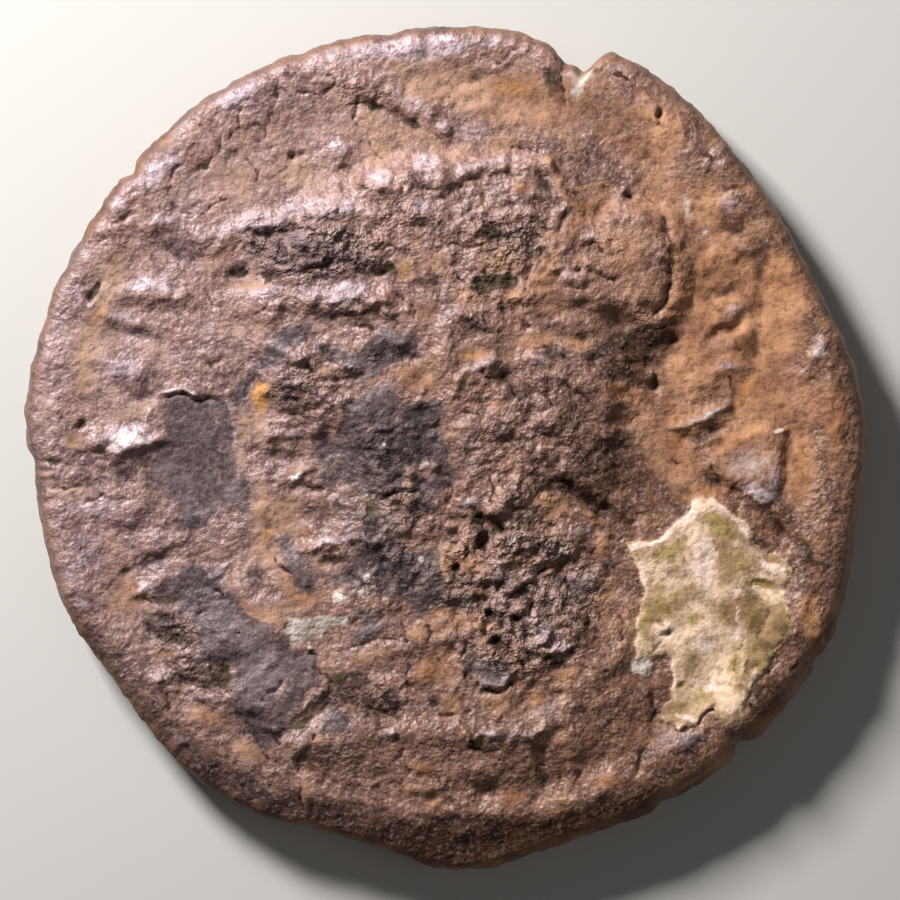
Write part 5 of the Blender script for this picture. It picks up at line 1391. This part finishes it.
class Bronze(Nodes):
    """The coin's material: layers of colour, each laid over the ones before it."""

    def __init__(self):
        super().__init__("patinated_bronze")
        self.grit = self.noise(0.095, 1.0, 0.50)
        self.grain = self.noise(0.17, 1.8, 0.55, 0.013)
        self.flake = self.noise(0.40, 5.0, 0.62, 0.027)
        self.coarse = self.noise(0.95, 5.0, 0.62, 0.041)
        self.broad = self.noise(2.4, 3.0, 0.55, 0.067)
        self.crumb = self.crumbs(0.42, 0.053)
        self.small_crumb = self.crumbs(0.21, 0.079)
        self.knob = self.noise(0.30, 2.0, 0.50, 0.101)
        self.hollow = self.attribute("hollow")
        self.rugged = self.math("MINIMUM", self.times(self.attribute("coarse"), 0.5), 0.85)
        self.broken = self.between(self.plus(self.rugged, self.times(self.coarse, 2.2)), 1.50, 2.30)
        self.fray = self.noise(0.55, 8.0, 0.70, 0.091)
        self.blotch = self.noise(0.36, 2.5, 0.60, 0.121)
        self.mottle = self.between(self.flake, 0.36, 0.64)
        self.speckle = self.between(self.grain, 0.36, 0.64)
        self.rough_place = self.between(self.rugged, 0.30, 0.65)
        # Colours drift from rosy grey at the upper left to brown at the lower right.
        x = self.times(self.axes.outputs["X"], 1.3)
        y = self.times(self.axes.outputs["Y"], 0.5)
        self.drift = self.between(self.minus(x, y), -11.0 * MM, 9.0 * MM)

    def over(self, under, share, strength, colour):
        return self.mix(self.times(share, strength), under, colour)

    def mottled(self, dark, light):
        return self.mix(self.mottle, dark, light)

    def drifting(self, upper_left, lower_right):
        return self.mix(self.drift, upper_left, lower_right)

    def metal(self):
        """Granular purple-brown bronze."""
        dark = self.drifting((108, 76, 74), (90, 55, 37))
        light = self.drifting((158, 124, 117), (142, 100, 76))
        paler = self.between(self.broad, 0.42, 0.66)
        return self.over(self.mottled(dark, light), paler, 0.5, (150, 108, 90))

    def earth(self, colour):
        """Orange-tan earth, more of it in the valleys."""
        share = self.plus(self.attribute("earth"), self.times(self.attribute("valley"), 0.18))
        share = self.plus(share, self.times(self.minus(self.coarse, 0.5), 1.7))
        share = self.plus(share, self.times(self.minus(self.broad, 0.45), 1.2))
        self.earth_share = self.between(share, -0.05, 1.0)
        dark = self.drifting((140, 107, 90), (150, 98, 66))
        light = self.drifting((190, 155, 134), (206, 153, 114))
        earth = self.mix(self.between(self.coarse, 0.35, 0.65), dark, light)
        earth = self.mix(self.between(self.attribute("earth"), 1.0, 2.4), earth, (204, 146, 86))
        return self.over(colour, self.earth_share, 0.80, earth)

    def sheen(self, colour):
        """A lavender sheen where the metal is rubbed."""
        self.sheen_share = self.times(self.ragged("sheen", self.fray, 1.4, 0.10, 1.5), 0.80)
        return self.mix(self.sheen_share, colour, self.mix(self.speckle, (164, 137, 138), (200, 180, 188)))

    def umber(self, colour):
        """Umber dirt in deep and shadowed places."""
        self.umber_share = self.times(self.ragged("umber", self.fray, 1.8, 0.15, 1.05), 0.85)
        left = self.mottled((60, 40, 41), (94, 68, 67))
        right = self.mottled((34, 18, 9), (68, 38, 21))
        return self.mix(self.umber_share, colour, self.drifting(left, right))

    def charcoal(self, colour):
        """Charcoal patina: smooth and grey where it lies flat, darker where it is broken."""
        self.charcoal_share = self.ragged("charcoal", self.fray, 3.4, 0.30, 0.85)
        dark = self.mix(self.rough_place, (48, 37, 38), (30, 22, 23))
        light = self.mix(self.rough_place, (110, 92, 93), (82, 68, 69))
        patina = self.mix(self.between(self.coarse, 0.36, 0.64), dark, light)
        patina = self.over(patina, self.between(self.flake, 0.50, 0.36), 0.6, (50, 38, 38))
        patina = self.over(patina, self.speckle, 0.35, (116, 100, 102))
        bright_blotch = self.times(self.between(self.blotch, 0.50, 0.64), self.rough_place)
        patina = self.over(patina, bright_blotch, 0.40, (122, 104, 106))
        dark_blotch = self.times(self.between(self.blotch, 0.48, 0.38), self.rough_place)
        patina = self.over(patina, dark_blotch, 0.75, (22, 16, 17))
        patina = self.mix(self.umber_share, patina, (36, 28, 30))
        patina = self.over(patina, self.sheen_share, 0.8, (142, 126, 130))
        return self.over(colour, self.charcoal_share, 0.92, patina)

    def green(self, colour):
        """Green-black dirt in pits."""
        self.green_share = self.times(self.ragged("green", self.fray, 2.0, 0.30, 0.90), 0.85)
        return self.mix(self.green_share, colour, self.mottled((30, 28, 19), (76, 69, 50)))

    def wear(self, colour):
        """Dark dents, and worn spots that are bright where the metal is bare."""
        colour = self.over(colour, self.between(self.grain, 0.46, 0.30), 0.45, (70, 44, 38))
        covered = self.most(self.times(self.charcoal_share, 0.7), self.times(self.earth_share, 0.8))
        covered = self.most(covered, self.green_share, self.times(self.umber_share, 0.45))
        self.bare = self.minus(1.0, covered)
        dent = self.times(self.between(self.blotch, 0.48, 0.36), self.rough_place)
        dent = self.times(dent, self.minus(1.0, self.charcoal_share))
        colour = self.over(colour, dent, 0.62, (60, 40, 36))
        worn = self.times(self.between(self.blotch, 0.53, 0.66), self.rough_place, self.bare)
        colour = self.over(colour, worn, 0.42, (196, 162, 148))
        high = self.times(self.between(self.grit, 0.52, 0.68), self.bare)
        return self.over(colour, high, 0.25, (214, 190, 188))

    def cracks(self, colour):
        """Bright tips and dark joins of the crumbs, then hollows and thin cracks."""
        tip = self.most(self.between(self.crumb, 0.45, 0.95), self.between(self.small_crumb, 0.55, 1.0))
        colour = self.over(colour, self.times(tip, self.broken, self.bare), 0.48, (210, 176, 168))
        colour = self.over(colour, self.between(self.hollow, 0.5, 2.6), 0.50, (62, 41, 34))
        small_join = self.times(self.between(self.small_crumb, 0.24, 0.04), 0.7)
        join = self.times(self.most(self.between(self.crumb, 0.26, 0.04), small_join), self.broken)
        self.seam = self.plus(self.attribute("seam"), self.times(self.minus(self.grain, 0.5), 0.08))
        deep = self.between(self.hollow, 2.0, 3.6)
        self.crack = self.most(deep, self.times(join, 0.7), self.between(self.seam, 0.055, 0.015))
        return self.over(colour, self.crack, 0.75, (32, 20, 17))

    def crust(self, colour):
        """The thick crust, cream and olive, with a pale border and its own cracks."""
        self.crust_share = self.ragged("crust", self.flake, 0.8, 0.42, 0.60)
        crust = self.mix(self.between(self.coarse, 0.38, 0.62), (164, 132, 96), (240, 208, 178))
        olive_share = self.ragged("olive", self.fray, 3.0, 0.10, 0.85)
        crust = self.mix(olive_share, crust, self.mottled((138, 112, 64), (182, 158, 102)))
        crust = self.mix(self.ragged("cream", self.fray, 3.0, 0.10, 0.85), crust, (244, 214, 198))
        crust = self.over(crust, self.between(self.flake, 0.46, 0.34), 0.6, (138, 108, 78))
        crust = self.over(crust, self.between(self.grain, 0.48, 0.30), 0.4, (120, 94, 66))
        crust = self.mix(self.umber_share, crust, self.mottled((100, 77, 56), (150, 122, 90)))
        colour = self.mix(self.crust_share, colour, crust)
        border = self.minus(self.ragged("crust", self.flake, 0.8, 0.10, 0.40), self.crust_share, True)
        colour = self.over(colour, border, 0.7, (196, 162, 134))
        crack = self.most(self.between(self.seam, 0.050, 0.015), self.between(self.hollow, 1.0, 3.0))
        return self.over(colour, self.times(crack, self.crust_share), 0.7, (82, 60, 40))

    def pale(self, colour):
        """Pale mineral specks and films."""
        share = self.ragged("pale", self.flake, 0.9, 0.35, 0.75)
        return self.over(colour, share, 0.80, self.mottled((190, 174, 160), (226, 214, 206)))

    def flank(self, colour):
        """The edge of the coin, plain brown."""
        dark = self.drifting((66, 42, 32), (88, 56, 42))
        light = self.drifting((114, 78, 56), (150, 106, 78))
        brown = self.mix(self.between(self.coarse, 0.35, 0.65), dark, light)
        return self.over(colour, self.between(self.attribute("flank"), 0.15, 0.75), 0.80, brown)

    def gloss(self):
        """Bare metal shines, and earth, umber and crust are dull."""
        dull = self.most(self.times(self.earth_share, 0.7), self.crust_share)
        dull = self.most(dull, self.times(self.umber_share, 0.8))
        roughness = self.plus(0.46, self.times(self.coarse, 0.12))
        self.feed("Roughness", self.plus(roughness, self.times(dull, 0.22), True))
        dark = self.most(self.times(self.umber_share, 0.8), self.times(self.charcoal_share, 0.45))
        dark = self.most(dark, self.times(self.earth_share, 0.8), self.crack)
        dark = self.most(dark, self.green_share, self.crust_share)
        self.feed("Specular IOR Level", self.times(self.minus(1.0, dark), 0.72))
        tint = self.add("ShaderNodeMix", data_type="RGBA")
        self.join(self.drift, tint.inputs["Factor"])
        self.join((0.94, 0.90, 1.0, 1.0), tint.inputs["A"])
        self.join((1.0, 0.86, 0.79, 1.0), tint.inputs["B"])
        self.feed("Specular Tint", tint.outputs["Result"])
        self.feed("IOR", 1.6)

    def relief(self):
        """Relief too fine for the mesh: grit everywhere, crumbs where the metal is broken."""
        relief = self.plus(self.times(self.grain, 0.95), self.times(self.grit, 0.26))
        relief = self.plus(relief, self.times(self.stairs(self.times(self.flake, 9.0)), 0.05))
        relief = self.times(relief, self.plus(self.times(self.rugged, 0.8), 0.55))
        relief = self.plus(relief, self.times(self.crumb, self.broken))
        relief = self.plus(relief, self.times(self.small_crumb, self.broken, 0.6))
        relief = self.plus(relief, self.times(self.knob, self.rugged, 2.2))
        smooth = self.most(self.times(self.charcoal_share, 0.20), self.times(self.earth_share, 0.35))
        smooth = self.most(smooth, self.times(self.crust_share, 0.30))
        bump = self.add("ShaderNodeBump")
        bump.inputs["Distance"].default_value = 0.085 * MM
        self.join(self.minus(1.0, smooth), bump.inputs["Strength"])
        self.join(relief, bump.inputs["Height"])
        self.feed("Normal", bump.outputs["Normal"])


def coin_material():
    """The coin's material, with its layers in the order that they were laid."""
    bronze = Bronze()
    colour = bronze.metal()
    for layer in (bronze.earth, bronze.sheen, bronze.umber, bronze.charcoal, bronze.green, bronze.wear):
        colour = layer(colour)
    for layer in (bronze.cracks, bronze.crust, bronze.pale, bronze.flank):
        colour = layer(colour)
    bronze.feed("Base Color", colour)
    bronze.gloss()
    bronze.relief()
    return bronze.material


def floor_material():
    """Plain pale matte paper."""
    paper = Nodes("pale_floor")
    paper.feed("Base Color", rgb(206, 204, 200))
    paper.feed("Roughness", 0.9)
    paper.feed("Specular IOR Level", 0.2)
    return paper.material


# ---------------------------------------------------------------- floor, light, camera


def make_floor():
    bpy.ops.mesh.primitive_plane_add(size=0.8)
    floor = bpy.context.object
    floor.name = "floor"
    floor.data.materials.append(floor_material())


def area_light(name, place, size, power, colour):
    """A square soft light, aimed at the coin."""
    light = bpy.data.lights.new(name, "AREA")
    light.size = size * MM
    light.energy = power
    light.color = colour
    lamp = bpy.data.objects.new(name, light)
    lamp.location = Vector(place) * MM
    lamp.rotation_euler = (-Vector(place)).to_track_quat("-Z", "Y").to_euler()
    bpy.context.scene.collection.objects.link(lamp)


def make_light():
    for light in LIGHTS:
        area_light(*light)
    world = bpy.data.worlds.new("studio")
    world.use_nodes = True
    sky = world.node_tree.nodes["Background"].inputs
    sky["Color"].default_value = SKY_COLOUR
    sky["Strength"].default_value = SKY_STRENGTH
    bpy.context.scene.world = world


def make_camera():
    """A camera straight above the coin, framed as the coin was seen."""
    middle_x, middle_y = outline_middle()
    camera = bpy.data.cameras.new("camera")
    camera.lens = LENS
    camera.sensor_width = SENSOR
    camera.clip_start = 0.001
    camera.clip_end = 10.0
    away = VIEW_WIDTH / SENSOR * LENS
    eye = bpy.data.objects.new("camera", camera)
    eye.location = Vector((VIEW_MIDDLE[0] - middle_x, VIEW_MIDDLE[1] - middle_y, away + EDGE_LEVEL)) * MM
    bpy.context.scene.collection.objects.link(eye)
    bpy.context.scene.camera = eye


def main():
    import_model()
    make_camera()
    coin = make_coin(coin_material())
    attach(coin, "root")
    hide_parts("coin")
    make_floor()
    make_light()
    bpy.context.scene.view_settings.view_transform = "Standard"


main()
